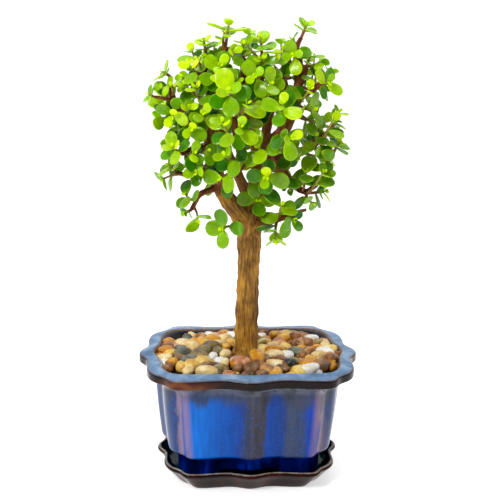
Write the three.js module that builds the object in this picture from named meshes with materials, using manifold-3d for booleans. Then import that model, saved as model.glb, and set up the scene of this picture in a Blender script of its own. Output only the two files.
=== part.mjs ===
// Potted jade plant: a small-leaved jade tree in a lobed glazed pot with a matching saucer.
// Millimetres, +Z up. The origin is the centre of the saucer's underside, on the table.
// The pot's ears point along X, its long sides face along Y, and the front is -Y.

import * as THREE from 'three';
import { mergeVertices } from 'three/addons/utils/BufferGeometryUtils.js';
import Module from 'manifold-3d';

const wasm = await Module();
wasm.setup();

// ---------------------------------------------------------------- driving dimensions

const gap = 0.3;                 // clearance between pieces that touch

const saucerMarginWide = 10.5;   // from the foot ring out to the saucer's lip, along X
const saucerMarginDeep = 13.7;   // the same along Y
const saucerHeight = 14.5;
const saucerFloor = 4.2;         // thickness of the saucer's floor
const saucerLip = 3.2;           // width of the saucer's rounded rim
const saucerFlare = 9.5;         // how far the saucer's wall leans out on each side

const potWidth = 152;            // across the ears of the rim
const potDepth = 127.6;          // across the centre points of the rim
const potHeight = 80.4;          // from the feet to the highest line of the rim
const rimBand = 6.3;             // height of the rim's outer face
const rimFlange = 10.5;          // width of the rim's top
const rimOverhang = 11;          // how far the rim stands out past the body below it
const bodyTaper = 4.5;           // how far the body leans in, on each side, down to its bottom edge
const footHeight = 17.5;
const footInset = 7.5;           // how far the foot ring is set back from the body's bottom edge
const footRing = 7;              // thickness of the foot ring
const footArchHeight = 7;        // height of the air gap in the middle of each side of the foot ring
const wall = 5.5;
const drainHole = 14;            // diameter
const drainInset = 28;           // from the foot of the inner wall in to a drain hole's centre

const screenSize = 24;           // side of the plastic mesh squares over the drain holes
const screenThickness = 1.4;
const screenMesh = 3.4;          // opening of the mesh
const screenBar = 1.2;           // width of its bars

const soilBelowRim = 10.5;       // from the rim's highest line down to the soil's edge
const soilMound = 4;             // extra height of the soil at the trunk
const pebbleBed = 2.4;           // thickness of the packed grit below the pebbles
const pebblePitch = 11.4;        // average spacing of the pebbles
const pebbleRadius = 6;          // average half length of a pebble

const forkHeight = 176;          // where the trunk divides, above the table
const trunkRadius = 7.8;
const crownWidth = 150;          // spread of the branches along X
const crownDepth = 116;          // spread of the branches along Y
const crownHeight = 136;         // from the fork to the highest shoot
const leafScale = 1.13;          // the leaf lengths of the shoots are multiplied by this
const leafWide = 0.76;           // leaf width over leaf length
const leafThick = 0.15;          // leaf thickness over leaf length
const leafArch = 0.13;           // how far a leaf's tip curls back, over leaf length
const leafRoom = 0.45;           // least room between two leaves

// ---------------------------------------------------------------- derived sizes and heights

const halfWidth = potWidth / 2;
const halfDepth = potDepth / 2;
const footWidth = halfWidth - rimOverhang - bodyTaper - footInset;     // half size of the foot ring
const footDepth = halfDepth - rimOverhang - bodyTaper - footInset;
const saucerWidth = 2 * (footWidth + saucerMarginWide);
const saucerDepth = 2 * (footDepth + saucerMarginDeep);
const drainSpacing = 2 * (halfWidth - rimOverhang - bodyTaper - wall - drainInset);
const potBase = saucerFloor + gap;
const rimTop = potBase + potHeight;
const rimFace = rimTop - 1.2;
const rimUnder = rimFace - rimBand;
const bodyTop = rimUnder - 6;
const bodyBottom = potBase + footHeight;
const floorTop = bodyBottom + wall;
const soilEdge = rimTop - soilBelowRim;
const gritTop = soilEdge + gap + pebbleBed;

// ---------------------------------------------------------------- geometry helpers

const { Vector3, Vector4 } = THREE;

// A closed skin over a stack of rings that hold the same number of points, capped at both ends.
function loft(rings) {
  const count = rings[0].length;
  const points = rings.flat();
  const index = [];
  for (let level = 0; level < rings.length - 1; level += 1) {
    for (let i = 0; i < count; i += 1) {
      const a = level * count + i;
      const b = level * count + (i + 1) % count;
      index.push(a, b, b + count, a, b + count, a + count);
    }
  }
  for (const end of [0, rings.length - 1]) {
    const centre = rings[end].reduce((sum, p) => sum.add(p), new Vector3()).divideScalar(count);
    points.push(centre);
    for (let i = 0; i < count; i += 1) {
      const a = end * count + i;
      const b = end * count + (i + 1) % count;
      index.push(points.length - 1, ...(end === 0 ? [b, a] : [a, b]));
    }
  }
  const geometry = new THREE.BufferGeometry().setFromPoints(points);
  geometry.setIndex(index);
  return geometry;
}

function solid(geometry) {
  const bare = geometry.clone();
  bare.deleteAttribute('normal');
  bare.deleteAttribute('uv');
  const merged = mergeVertices(bare, 1e-4);
  return new wasm.Manifold(new wasm.Mesh({
    numProp: 3,
    vertProperties: new Float32Array(merged.attributes.position.array),
    triVerts: new Uint32Array(merged.index.array),
  }));
}

function join(solids) {
  return solids.reduce((whole, next) => whole.add(next));
}

function geometryOf(body) {
  const mesh = body.getMesh();
  const geometry = new THREE.BufferGeometry();
  geometry.setAttribute('position', new THREE.BufferAttribute(mesh.vertProperties, 3));
  geometry.setIndex(new THREE.BufferAttribute(mesh.triVerts, 1));
  return geometry;
}

const part = new THREE.Group();

function addPiece(name, body, look) {
  const material = new THREE.MeshStandardMaterial(look);
  const mesh = new THREE.Mesh(geometryOf(body), material);
  mesh.name = name;
  part.add(mesh);
}

function rod(radius, height, x, y, z, sides) {
  const geometry = new THREE.CylinderGeometry(radius, radius, height, sides);
  geometry.rotateX(Math.PI / 2);
  geometry.translate(x, y, z + height / 2);
  return solid(geometry);
}

function block(width, depth, height, x, y, z) {
  const geometry = new THREE.BoxGeometry(width, depth, height);
  geometry.translate(x, y, z + height / 2);
  return solid(geometry);
}

// ---------------------------------------------------------------- lobed outlines

// One quarter of an outline, from the ear on +X to the centre point on +Y, as joined cubic curves.
// Each row is the curve's steps, then its two handles and its end, in shares of the half width and
// the half depth. The outline starts at the ear (1, 0).
const lobedQuarter = [
  [2, [1.0, 0.14], [0.915, 0.14], [0.914, 0.315]],      // ear
  [3, [0.94, 0.52], [0.908, 0.725], [0.757, 0.795]],    // corner lobe, ending in a notch
  [1, [0.737, 0.9], [0.71, 0.95], [0.658, 0.95]],       // shoulder
  [2, [0.5, 0.96], [0.39, 0.912], [0.27, 0.912]],       // shallow hollow of the long side
  [2, [0.15, 0.912], [0.085, 1.0], [0, 1.0]],           // centre point
];
const softQuarter = [
  [2, [1.0, 0.12], [0.935, 0.2], [0.925, 0.43]],
  [4, [0.915, 0.72], [0.86, 0.935], [0.69, 0.94]],
  [2, [0.55, 0.945], [0.42, 0.94], [0.3, 0.94]],
  [2, [0.17, 0.94], [0.08, 1.0], [0, 1.0]],
];

function quarterPoints(quarter) {
  const points = [];
  let start = new THREE.Vector2(1, 0);
  for (const [steps, handleA, handleB, end] of quarter) {
    const finish = new THREE.Vector2(...end);
    const curve = new THREE.CubicBezierCurve(
      start, new THREE.Vector2(...handleA), new THREE.Vector2(...handleB), finish);
    points.push(...curve.getPoints(steps).slice(0, -1));
    start = finish;
  }
  return points;
}

// The whole ring, anticlockwise from the ear on +X, at height z.
function ring(quarter, halfWidth, halfDepth, z) {
  const first = quarterPoints(quarter);
  const centre = new THREE.Vector2(0, 1);
  const half = [...first, centre, ...first.slice(1).reverse().map((p) => new THREE.Vector2(-p.x, p.y))];
  const back = half.map((p) => new THREE.Vector2(-p.x, -p.y));
  return [...half, ...back].map((p) => new Vector3(p.x * halfWidth, p.y * halfDepth, z));
}

// Rows of [inset, z]: the outline drawn that far inside the given half sizes.
function stack(quarter, halfWidth, halfDepth, rows) {
  return rows.map(([inset, z]) => ring(quarter, halfWidth - inset, halfDepth - inset, z));
}

// ---------------------------------------------------------------- saucer

function makeSaucer() {
  const outer = [[saucerFlare + 1.5, 0], [saucerFlare, 1.2], [2.2, saucerHeight - 4.5],
    [0, saucerHeight - 1.6], [0.8, saucerHeight - 0.3], [saucerLip / 2, saucerHeight]];
  const inner = [[saucerLip, saucerHeight - 0.9], [saucerLip + 2, saucerHeight - 5],
    [saucerLip + 3.4, saucerFloor + 0.5], [saucerLip + 5, saucerFloor]];
  return solid(loft(stack(lobedQuarter, saucerWidth / 2, saucerDepth / 2, [...outer, ...inner])));
}

addPiece('saucer', makeSaucer(), { color: 0x2b1a18, roughness: 0.15, metalness: 0 });

// ---------------------------------------------------------------- pot

const innerWidth = halfWidth - rimFlange;
const innerDepth = halfDepth - rimFlange - 2;

// The pot's inside: a soft oblong at the rim, then, from the grit's top down, the body's own lobed
// outline one wall further in.
const mouth = rimTop - 1.2;
const lobedRows = [
  [rimOverhang + wall, gritTop],
  [rimOverhang + bodyTaper + wall, floorTop + 3],
  [rimOverhang + bodyTaper + wall + 3, floorTop],
];

// The ring of the inside at height z, drawn in by a clearance and to a share of its size.
function insideRing(z, clearance = 0, share = 1) {
  const [top, middle, bottom] = lobedRows;
  const ringAt = (inset) => ring(lobedQuarter, (halfWidth - inset - clearance) * share,
    (halfDepth - inset - clearance) * share, z);
  if (z <= top[1]) {
    const [upper, lower] = z > middle[1] ? [top, middle] : [middle, bottom];
    return ringAt(lower[0] + (upper[0] - lower[0]) * (z - lower[1]) / (upper[1] - lower[1]));
  }
  const soft = ring(softQuarter, (innerWidth - clearance) * share, (innerDepth - clearance) * share, z);
  const rise = Math.min((z - top[1]) / (mouth - top[1]), 1);
  return ringAt(top[0]).map((p, i) => p.lerp(soft[i], rise));
}

function makePot() {
  const outer = stack(lobedQuarter, halfWidth, halfDepth, [
    [rimOverhang + bodyTaper + 2, bodyBottom],
    [rimOverhang + bodyTaper, bodyBottom + 2],
    [rimOverhang + bodyTaper * 0.62, bodyBottom + 16],
    [rimOverhang + 0.4, bodyTop - 6],
    [rimOverhang, bodyTop],
    [rimOverhang * 0.55, rimUnder - 1.2],
    [1, rimUnder],
    [0, rimUnder + 1],
    [0, rimFace - 0.8],
    [1.2, rimFace],
  ]);
  const inner = [ring(softQuarter, innerWidth + 1.4, innerDepth + 1.4, rimTop),
    insideRing(mouth), ...lobedRows.map(([, z]) => insideRing(z))];
  const body = solid(loft([...outer, ...inner]));

  const ringOuter = [[1.2, potBase], [0, potBase + 1.2], [0, bodyBottom + 0.6]];
  const ringInner = [[footRing, potBase - 1], [footRing, bodyBottom]];
  let foot = solid(loft(stack(lobedQuarter, footWidth, footDepth, ringOuter)));
  foot = foot.subtract(solid(loft(stack(softQuarter, footWidth, footDepth, ringInner))));
  const archBase = potBase - 1;
  foot = foot.subtract(block(footWidth * 0.8, potDepth, footArchHeight + 1, 0, 0, archBase));
  foot = foot.subtract(block(potWidth, footDepth * 0.7, footArchHeight + 1, 0, 0, archBase));

  let pot = body.add(foot);
  for (const side of [-1, 1]) {
    pot = pot.subtract(rod(drainHole / 2, wall + 2, side * drainSpacing / 2, 0, bodyBottom - 1, 16));
  }
  return pot;
}

addPiece('pot', makePot(), { color: 0x1559b8, roughness: 0.12, metalness: 0 });

// ---------------------------------------------------------------- drain screens

const screenBottom = floorTop + gap;

function makeScreen(x) {
  let screen = block(screenSize, screenSize, screenThickness, x, 0, screenBottom);
  const pitch = screenMesh + screenBar;
  for (let row = -1.5; row <= 1.5; row += 1) {
    for (let column = -1.5; column <= 1.5; column += 1) {
      screen = screen.subtract(
        block(screenMesh, screenMesh, screenThickness + 2, x + column * pitch, row * pitch, screenBottom - 1));
    }
  }
  return screen;
}

addPiece('drain_screen_left', makeScreen(-drainSpacing / 2), { color: 0x1d1d1d, roughness: 0.6, metalness: 0 });
addPiece('drain_screen_right', makeScreen(drainSpacing / 2), { color: 0x1d1d1d, roughness: 0.6, metalness: 0 });

// ---------------------------------------------------------------- wood

// Places in the crown: x and y as shares of the spread, z above the fork, all drawn for a crown
// 150 wide, 116 deep and 136 high, so that the crown and the thickness of its limbs follow its sizes.
function crownPoint([x, y, z, radius = 0]) {
  const [wide, deep, high] = [crownWidth / 150, crownDepth / 116, crownHeight / 136];
  return new Vector4(x * wide, y * deep, forkHeight + z * high, radius * Math.cbrt(wide * deep * high));
}

const crownLimbs = {
  leader: [[-1, 0, -4, 7.4], [3, 1, 12, 6], [4, 2, 25, 5.6], [5, 1, 39, 5.2], [5, 0, 51, 4.6],
    [0, 2, 64, 3.8], [-2, 4, 79, 3.2], [-5, 2, 95, 2.6], [-6, 0, 110, 1.9]],
  left_limb: [[-2, 0, -3, 6.6], [-9, -3, 8, 6.2], [-17, -6, 19, 6], [-23, -8, 32, 5.2], [-27, -8, 45, 4.6],
    [-28, -6, 58, 4], [-30, -3, 73, 3.4], [-28, 0, 88, 2.9], [-31, 2, 100, 2.4], [-30, 2, 110, 1.9]],
  right_limb: [[5, 1, 42, 4.6], [10, 2, 50, 4.1], [17, 3, 58, 3.8], [24, 2, 65, 3.6], [28, 0, 76, 3.3],
    [30, 0, 88, 3.1], [31, 0, 99, 2.8], [31, 0, 109, 2.2], [29, 0, 117, 1.8], [32, 0, 124, 1.5]],
  cut_stub: [[30, 0, 91, 3], [33, -2, 99, 2.7], [35, -3, 105, 2.4]],
  right_arm: [[31, 0, 85, 2.6], [37, -4, 88, 2.2], [44, -8, 94, 2]],
  inner_branch: [[7, 1, 49, 4], [11, 8, 63, 3.5], [14, 10, 78, 3], [17, 8, 91, 2.7], [21, 6, 102, 2.3],
    [25, 4, 109, 1.9]],
  tip_branch: [[-2, 3, 77, 2.4], [4, -2, 88, 2.4], [6, -6, 101, 2.1], [6, -6, 113, 1.7]],
  low_right: [[3, 0, -5, 4.6], [8, -5, 0, 3.7], [15, -9, 4, 3.3], [23, -12, 7, 2.9]],
  dead_stub: [[22, -12, 7, 2], [29, -12, 9, 1.4], [37, -12, 11, 1.1]],
  mid_right: [[6, 1, 34, 3.8], [14, 3, 37, 3.4], [21, 4, 35, 3.1], [26, 2, 29, 2.7], [33, -2, 23, 2.5],
    [39, -5, 21, 1.9]],
  knob: [[22, 4, 34, 2.4], [22, 3, 28, 2.3], [22, 2, 24, 2.6]],
  outer_right: [[12, 3, 42, 3.6], [21, 4, 43, 3.2], [30, 2, 46, 3], [39, 0, 51, 2.6], [46, -2, 57, 2.1],
    [53, -3, 64, 1.6]],
  red_twig: [[38, -4, 22, 1.7], [47, -2, 29, 1.6], [51, 0, 39, 1.6], [56, 0, 49, 1.3]],
  low_left: [[-22, -8, 25, 2.8], [-28, -12, 24, 2.2], [-34, -15, 22, 1.9], [-37, -17, 18, 1.7],
    [-40, -18, 12, 1.4]],
  left_arm: [[-29, -6, 61, 3], [-36, -8, 67, 2.6], [-44, -8, 73, 2.3], [-50, -6, 79, 2.2], [-53, -4, 88, 1.9],
    [-54, -3, 98, 1.4]],
  left_twig: [[-52, -6, 82, 1.5], [-58, -8, 84, 1.3], [-64, -9, 85, 1.1]],
  mid_left: [[-28, -8, 50, 2.8], [-36, -14, 53, 2.4], [-42, -18, 51, 2.2], [-47, -20, 50, 2.2]],
  side_left: [[-26, -8, 38, 2.4], [-33, -14, 36, 2], [-42, -17, 35, 1.7], [-50, -18, 37, 1.3]],
  top_left: [[-28, 0, 85, 2.5], [-24, -4, 97, 2.2], [-20, -6, 109, 2], [-18, -6, 118, 2.3]],
  front_limb: [[3, 0, 39, 3.8], [-2, -12, 44, 3.5], [-7, -22, 49, 3.2], [-11, -27, 63, 2.9], [-14, -30, 76, 2.5],
    [-15, -30, 89, 2]],
  front_right: [[6, 0, 24, 3.4], [11, -14, 40, 3], [12, -26, 55, 2.6], [16, -32, 67, 2.3], [18, -34, 79, 1.9]],
  back_left: [[0, 2, 14, 4.4], [-6, 16, 26, 4], [-14, 28, 41, 3.6], [-20, 36, 59, 3.1], [-24, 38, 78, 2.6],
    [-25, 34, 95, 2]],
  back_right: [[5, 3, 22, 4.2], [10, 18, 31, 3.8], [19, 30, 45, 3.3], [25, 38, 62, 2.9], [27, 40, 80, 2.4],
    [24, 36, 97, 1.9]],
  back_mid: [[5, 4, 36, 3.8], [5, 20, 50, 3.2], [1, 32, 67, 2.7], [0, 38, 85, 2.2], [0, 32, 102, 1.8]],
};

// A point along a limb, and its radius there, on a smooth curve through the limb's places.
function along(places, share) {
  const last = places.length - 1;
  const reach = Math.min(Math.max(share, 0), 1) * last;
  const i = Math.min(Math.floor(reach), last - 1);
  const f = reach - i;
  const p = [places[Math.max(i - 1, 0)], places[i], places[i + 1], places[Math.min(i + 2, last)]];
  const mix = (key) => {
    const [a, b, c, d] = p.map((v) => v[key]);
    return 0.5 * (2 * b + (c - a) * f + (2 * a - 5 * b + 4 * c - d) * f * f + (3 * b - a - 3 * c + d) * f ** 3);
  };
  return new Vector4(mix('x'), mix('y'), mix('z'), mix('w'));
}

const limbs = Object.fromEntries(
  Object.entries(crownLimbs).map(([name, places]) => [name, places.map(crownPoint)]));

// A tapering stem through points that carry their radius in w.
function stem(points, sides, grow = 0) {
  const centres = points.map((p) => new Vector3(p.x, p.y, p.z));
  const rings = [];
  let side = new Vector3(0, 1, 0);
  centres.forEach((centre, i) => {
    const before = centres[Math.max(i - 1, 0)];
    const after = centres[Math.min(i + 1, centres.length - 1)];
    const tangent = new Vector3().subVectors(after, before).normalize();
    if (Math.abs(side.dot(tangent)) > 0.95) side = new Vector3(1, 0, 0);
    side = side.clone().addScaledVector(tangent, -side.dot(tangent)).normalize();
    const other = new Vector3().crossVectors(tangent, side);
    const radius = points[i].w + grow;
    rings.push(Array.from({ length: sides }, (unused, k) => {
      const angle = 2 * Math.PI * k / sides;
      return centre.clone().addScaledVector(side, radius * Math.cos(angle))
        .addScaledVector(other, radius * Math.sin(angle));
    }));
  });
  return solid(loft(rings));
}

function limbStem(name, sides, grow = 0) {
  const places = limbs[name];
  const steps = places.length;
  return stem(Array.from({ length: steps + 1 }, (unused, i) => along(places, i / steps)), sides, grow);
}

const soilTop = soilEdge + soilMound;
const rootDepth = 26;            // how far the root crown reaches into the soil

function trunkPlaces() {
  return [
    new Vector4(-1.5, 0, soilTop - rootDepth, trunkRadius * 0.55),
    new Vector4(-1.5, 0, soilTop - 6, trunkRadius * 1.25),
    new Vector4(-1.5, 0, soilTop + 4, trunkRadius * 1.22),
    new Vector4(-1.5, 0, soilTop + 14, trunkRadius * 1.04),
    new Vector4(-1.2, 0, soilTop + 40, trunkRadius),
    new Vector4(-0.6, 0, forkHeight - 30, trunkRadius * 0.99),
    new Vector4(-0.4, 0, forkHeight - 10, trunkRadius * 1.04),
    new Vector4(0.2, 0, forkHeight, trunkRadius * 0.98),
  ];
}

// Thick roots that spread from the root crown under the soil.
function rootPlaces(turn, reach) {
  const out = new Vector3(Math.cos(turn), Math.sin(turn), 0);
  const at = (distance, drop, radius) => new Vector4(
    -1.5 + out.x * distance, out.y * distance, soilTop - drop, radius);
  return [at(0, 8, 4.5), at(reach * 0.45, 13, 3.6), at(reach, 22, 1.8)];
}

const trunkLimbs = ['leader', 'left_limb', 'right_limb', 'cut_stub'];

function makeTrunk(grow) {
  const roots = [0.3, 1.6, 2.8, 4.1, 5.3].map((turn, i) => stem(rootPlaces(turn, 26 + 4 * (i % 2)), 6, grow));
  const limbBodies = trunkLimbs.map((name) => limbStem(name, 8, grow));
  return join([stem(trunkPlaces(), 12, grow), ...roots, ...limbBodies]);
}

const trunk = makeTrunk(0);
const trunkRoom = makeTrunk(gap);
addPiece('trunk', trunk, { color: 0x8a5a2b, roughness: 0.85, metalness: 0 });

// ---------------------------------------------------------------- leafy shoots

// Each row: limb, place along it from 0 to 1, tip [x, y, z] in the crown, pairs of leaves, leaf length,
// turn of the first pair about the stem in degrees, and how far the stem hangs before it turns up.
const shoots = {
  top_left_sprig: ['top_left', 1, [-16, -6, 132], 3, 12.5, 90, 0],
  top_left_bud: ['top_left', 0.96, [-19, -12, 127], 2, 6.5, 40, 0],
  top_right_sprig: ['right_limb', 1, [35, -2, 132], 3, 9.5, 35, 0],
  top_right_bud: ['right_limb', 0.97, [25, 2, 123], 2, 5.5, 20, 0.3],
  tip_sprig: ['tip_branch', 1, [4, -14, 124], 3, 10.5, 0, 0.3],
  leader_sprig: ['leader', 1, [-7, -4, 119], 3, 10.5, 60, 0.3],
  limb_tip_sprig: ['left_limb', 1, [-32, 0, 121], 3, 9, 30, 0],
  limb_side_sprig: ['left_limb', 0.97, [-40, -4, 115], 3, 11, 70, 0.3],
  limb_front_sprig: ['left_limb', 0.9, [-41, -16, 106], 3, 12, 10, 0.3],
  inner_sprig: ['inner_branch', 1, [20, -4, 116], 3, 10.5, 45, 0.3],
  right_front_sprig: ['right_limb', 0.86, [25, -16, 113], 3, 11, 20, 0.3],
  stub_sprig: ['cut_stub', 1, [38, -4, 113], 2, 8.5, 85, 0.15],
  arm_sprig: ['right_arm', 1, [49, -14, 96], 3, 11, 50, 0.15],
  arm_side_sprig: ['right_arm', 0.7, [41, -12, 104], 2, 8.5, 10, 0.3],
  right_low_sprig: ['right_limb', 0.5, [40, -10, 78], 2, 11.5, 5, 0.3],
  right_lower_sprig: ['right_limb', 0.42, [42, -8, 70], 2, 11, 70, 0.15],
  outer_tip: ['outer_right', 1, [57, -4, 70], 3, 8.5, 30, 0],
  red_tip: ['red_twig', 1, [59, -2, 54], 3, 10, 75, 0],
  mid_top: ['mid_right', 0.86, [35, -16, 37], 2, 12.5, 0, 0.3],
  red_side: ['red_twig', 0.45, [47, -12, 38], 2, 9, 55, 0.3],
  mid_end: ['mid_right', 1, [49, -10, 23], 3, 12, 60, -0.05],
  mid_hanging: ['mid_right', 0.97, [40, -14, 16], 2, 11, 20, -0.1],
  mid_inner: ['mid_right', 0.72, [27, -4, 23], 2, 6.5, 20, 0],
  low_top: ['low_right', 0.92, [19, -22, 16], 2, 12.5, 25, 0.3],
  low_end: ['low_right', 1, [27, -20, 6], 2, 12.5, 70, 0],
  low_hanging: ['low_right', 0.8, [16, -20, -8], 3, 12, 10, -0.2],
  outer_upper: ['outer_right', 0.7, [42, -14, 61], 2, 9.5, 40, 0.3],
  outer_lower: ['outer_right', 0.62, [46, -10, 50], 2, 9.5, 80, 0],
  outer_inner: ['outer_right', 0.45, [31, -12, 45], 2, 8, 30, 0],
  outer_front: ['outer_right', 0.38, [23, -14, 54], 2, 12, 60, 0.3],
  front_right_tip: ['front_right', 1, [16, -44, 85], 3, 12.5, 75, 0.3],
  front_right_side: ['front_right', 0.75, [22, -44, 64], 3, 12.5, 15, 0.3],
  front_right_mid: ['front_right', 0.45, [2, -40, 57], 2, 12, 30, 0.3],
  front_right_low: ['front_right', 0.25, [8, -30, 36], 3, 13, 80, 0.15],
  leader_front_sprig: ['leader', 0.22, [4, -16, 18], 2, 11.5, 0, 0.15],
  front_tip: ['front_limb', 1, [-17, -42, 92], 3, 14.5, 20, 0.3],
  front_upper: ['front_limb', 0.8, [-6, -42, 85], 3, 13, 60, 0.3],
  front_mid_right: ['front_limb', 0.66, [-10, -46, 71], 3, 12.5, 70, 0.3],
  front_mid_left: ['front_limb', 0.55, [-21, -46, 74], 3, 12.5, 15, 0.3],
  front_low: ['front_limb', 0.38, [-19, -40, 52], 3, 12.5, 35, 0.3],
  front_lowest: ['front_limb', 0.22, [-21, -32, 36], 2, 13, 80, 0.3],
  fork_sprig: ['left_limb', 0.05, [-20, -30, 2], 2, 12.5, 2, 0],
  limb_upper_sprig: ['left_limb', 0.62, [-33, -30, 77], 3, 13, 50, 0.3],
  limb_lower_sprig: ['left_limb', 0.45, [-37, -28, 39], 3, 13, 10, 0.3],
  tip_front: ['tip_branch', 0.75, [0, -30, 101], 3, 11.5, 45, 0.3],
  tip_right: ['tip_branch', 0.45, [10, -28, 96], 2, 11, 10, 0.3],
  top_left_front: ['top_left', 0.55, [-22, -26, 107], 3, 11.5, 60, 0.3],
  top_left_right: ['top_left', 0.8, [-13, -18, 115], 3, 9.5, 20, 0.3],
  arm_tip: ['left_arm', 1, [-59, -4, 101], 3, 8.5, 15, 0],
  arm_upper: ['left_arm', 0.8, [-59, -10, 92], 2, 8, 80, 0],
  twig_tip: ['left_twig', 1, [-68, -10, 87], 3, 7, 45, 0],
  arm_middle: ['left_arm', 0.62, [-53, -22, 74], 3, 11, 65, 0],
  arm_inner: ['left_arm', 0.5, [-42, -24, 80], 3, 10.5, 10, 0.3],
  arm_low: ['left_arm', 0.35, [-41, -26, 67], 3, 12, 60, 0.15],
  mid_left_tip: ['mid_left', 0.95, [-52, -26, 55], 3, 11, 30, 0.15],
  mid_left_front: ['mid_left', 0.75, [-39, -30, 52], 3, 11.5, 75, 0.3],
  mid_left_inner: ['mid_left', 0.4, [-30, -28, 53], 2, 9.5, 10, 0.3],
  side_left_tip: ['side_left', 1, [-55, -20, 42], 2, 9.5, 20, 0],
  side_left_low: ['side_left', 0.85, [-59, -22, 33], 2, 9, 70, -0.2],
  low_left_upper: ['low_left', 0.72, [-44, -22, 23], 2, 10.5, 40, 0.3],
  low_left_tip: ['low_left', 1, [-44, -20, 10], 3, 7.5, 0, -0.1],
  low_left_leaf: ['low_left', 0.97, [-36, -24, 7], 1, 12, 60, -0.1],
  limb_left_sprig: ['left_limb', 0.75, [-44, -16, 94], 3, 12, 35, 0.3],
  back_left_tip: ['back_left', 1, [-24, 34, 116], 3, 11, 20, 0.15],
  back_left_upper: ['back_left', 0.85, [-40, 36, 92], 3, 12, 60, 0.15],
  back_left_mid: ['back_left', 0.7, [-30, 52, 86], 3, 12.5, 10, 0.3],
  back_left_side: ['back_left', 0.58, [-44, 42, 62], 3, 12, 40, 0.3],
  back_left_low: ['back_left', 0.45, [-24, 56, 50], 3, 12.5, 75, 0.3],
  back_left_lowest: ['back_left', 0.3, [-30, 40, 24], 3, 12, 15, 0.3],
  back_right_tip: ['back_right', 1, [22, 38, 118], 3, 11, 70, 0.15],
  back_right_upper: ['back_right', 0.85, [44, 36, 86], 3, 12, 25, 0.15],
  back_right_mid: ['back_right', 0.7, [30, 54, 80], 3, 12.5, 50, 0.3],
  back_right_side: ['back_right', 0.55, [50, 36, 56], 3, 12, 5, 0.3],
  back_right_low: ['back_right', 0.42, [28, 52, 46], 3, 12.5, 35, 0.3],
  back_right_lowest: ['back_right', 0.28, [38, 36, 26], 3, 12, 80, 0.3],
  back_mid_tip: ['back_mid', 1, [0, 38, 124], 3, 11, 45, 0.15],
  back_mid_upper: ['back_mid', 0.82, [-2, 54, 102], 3, 12, 10, 0.3],
  back_mid_centre: ['back_mid', 0.6, [2, 58, 74], 3, 12.5, 60, 0.3],
  back_mid_low: ['back_mid', 0.42, [4, 50, 36], 3, 12, 30, 0.3],
  limb_back_sprig: ['left_limb', 0.6, [-52, 14, 70], 3, 12, 30, 0.3],
  right_back_sprig: ['right_limb', 0.45, [56, 14, 68], 3, 12, 60, 0.3],
  leader_back_sprig: ['leader', 0.8, [8, 20, 104], 3, 11, 20, 0.3],
  limb_back_low_sprig: ['left_limb', 0.42, [-50, 12, 40], 3, 12, 70, 0.3],
  top_left_low: ['top_left', 0.3, [-37, -12, 109], 3, 11.5, 40, 0.3],
  top_left_side: ['top_left', 0.5, [-30, 4, 113], 3, 10.5, 10, 0.2],
  top_left_inner: ['top_left', 0.42, [-24, -24, 102], 3, 12.5, 70, 0.3],
  limb_high_sprig: ['left_limb', 0.83, [-46, -12, 98], 3, 12, 20, 0.25],
  limb_mass_sprig: ['left_limb', 0.7, [-38, -24, 93], 3, 12.5, 75, 0.3],
  leader_mass_sprig: ['leader', 0.72, [-13, -24, 97], 3, 12.5, 40, 0.3],
  leader_mid_sprig: ['leader', 0.6, [-2, -18, 82], 3, 12.5, 15, 0.35],
  tip_high: ['tip_branch', 0.9, [-5, -14, 120], 2, 12, 0, 0.1],
  tip_side: ['tip_branch', 0.8, [4, -18, 111], 3, 10, 60, 0.2],
  inner_front: ['inner_branch', 0.8, [12, -14, 109], 3, 11, 20, 0.25],
  inner_low: ['inner_branch', 0.5, [9, -16, 88], 3, 12, 60, 0.3],
  arm_high: ['left_arm', 0.68, [-53, -16, 93], 3, 11, 30, 0.3],
  top_left_back: ['top_left', 0.6, [-26, 16, 110], 3, 11, 30, 0.2],
  arm_back: ['left_arm', 0.75, [-60, 12, 84], 3, 11, 60, 0.2],
  outer_back: ['outer_right', 0.6, [52, 14, 52], 3, 11.5, 20, 0.2],
  outer_back_high: ['outer_right', 0.85, [60, 9, 74], 3, 10, 60, 0.1],
  inner_back: ['inner_branch', 0.7, [36, 20, 100], 3, 11.5, 10, 0.2],
  inner_back_low: ['inner_branch', 0.45, [28, 26, 78], 3, 12, 50, 0.2],
  back_mid_inner: ['back_mid', 0.8, [-6, 16, 110], 3, 11.5, 30, 0.2],
  back_left_inner: ['back_left', 0.8, [-34, 18, 102], 3, 12, 70, 0.2],
  back_right_inner: ['back_right', 0.72, [42, 20, 90], 3, 12, 0, 0.2],
  back_left_far: ['back_left', 0.5, [-54, 24, 76], 3, 12, 20, 0.2],
  back_right_far: ['back_right', 0.48, [56, 20, 42], 3, 12, 60, 0.2],
  back_mid_right: ['back_mid', 0.7, [18, 50, 94], 3, 12, 45, 0.2],
  back_mid_left: ['back_mid', 0.55, [-14, 52, 66], 3, 12, 15, 0.2],
  right_side_sprig: ['right_limb', 0.6, [50, 2, 94], 3, 11.5, 40, 0.3],
  right_high_sprig: ['right_limb', 0.74, [46, 6, 108], 3, 11, 10, 0.25],
  right_mass_sprig: ['right_limb', 0.55, [36, -20, 92], 3, 12, 60, 0.3],
  limb_outer_sprig: ['left_limb', 0.68, [-48, 2, 92], 3, 11.5, 30, 0.3],
  leader_top_sprig: ['leader', 0.85, [-8, 8, 112], 3, 11, 60, 0.2],
  outer_mass: ['outer_right', 0.8, [52, -18, 72], 3, 11, 30, 0.3],
  mid_mass: ['mid_right', 0.95, [46, -22, 38], 3, 12, 60, 0.3],
  outer_side: ['outer_right', 0.5, [48, 4, 66], 3, 11.5, 10, 0.3],
  arm_side: ['left_arm', 0.6, [-60, 2, 70], 3, 11, 60, 0.3],
  arm_back_high: ['right_arm', 0.6, [52, 4, 102], 3, 10.5, 20, 0.2],
  mid_left_back: ['mid_left', 0.55, [-50, -2, 58], 2, 11, 50, 0.3],
};

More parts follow.
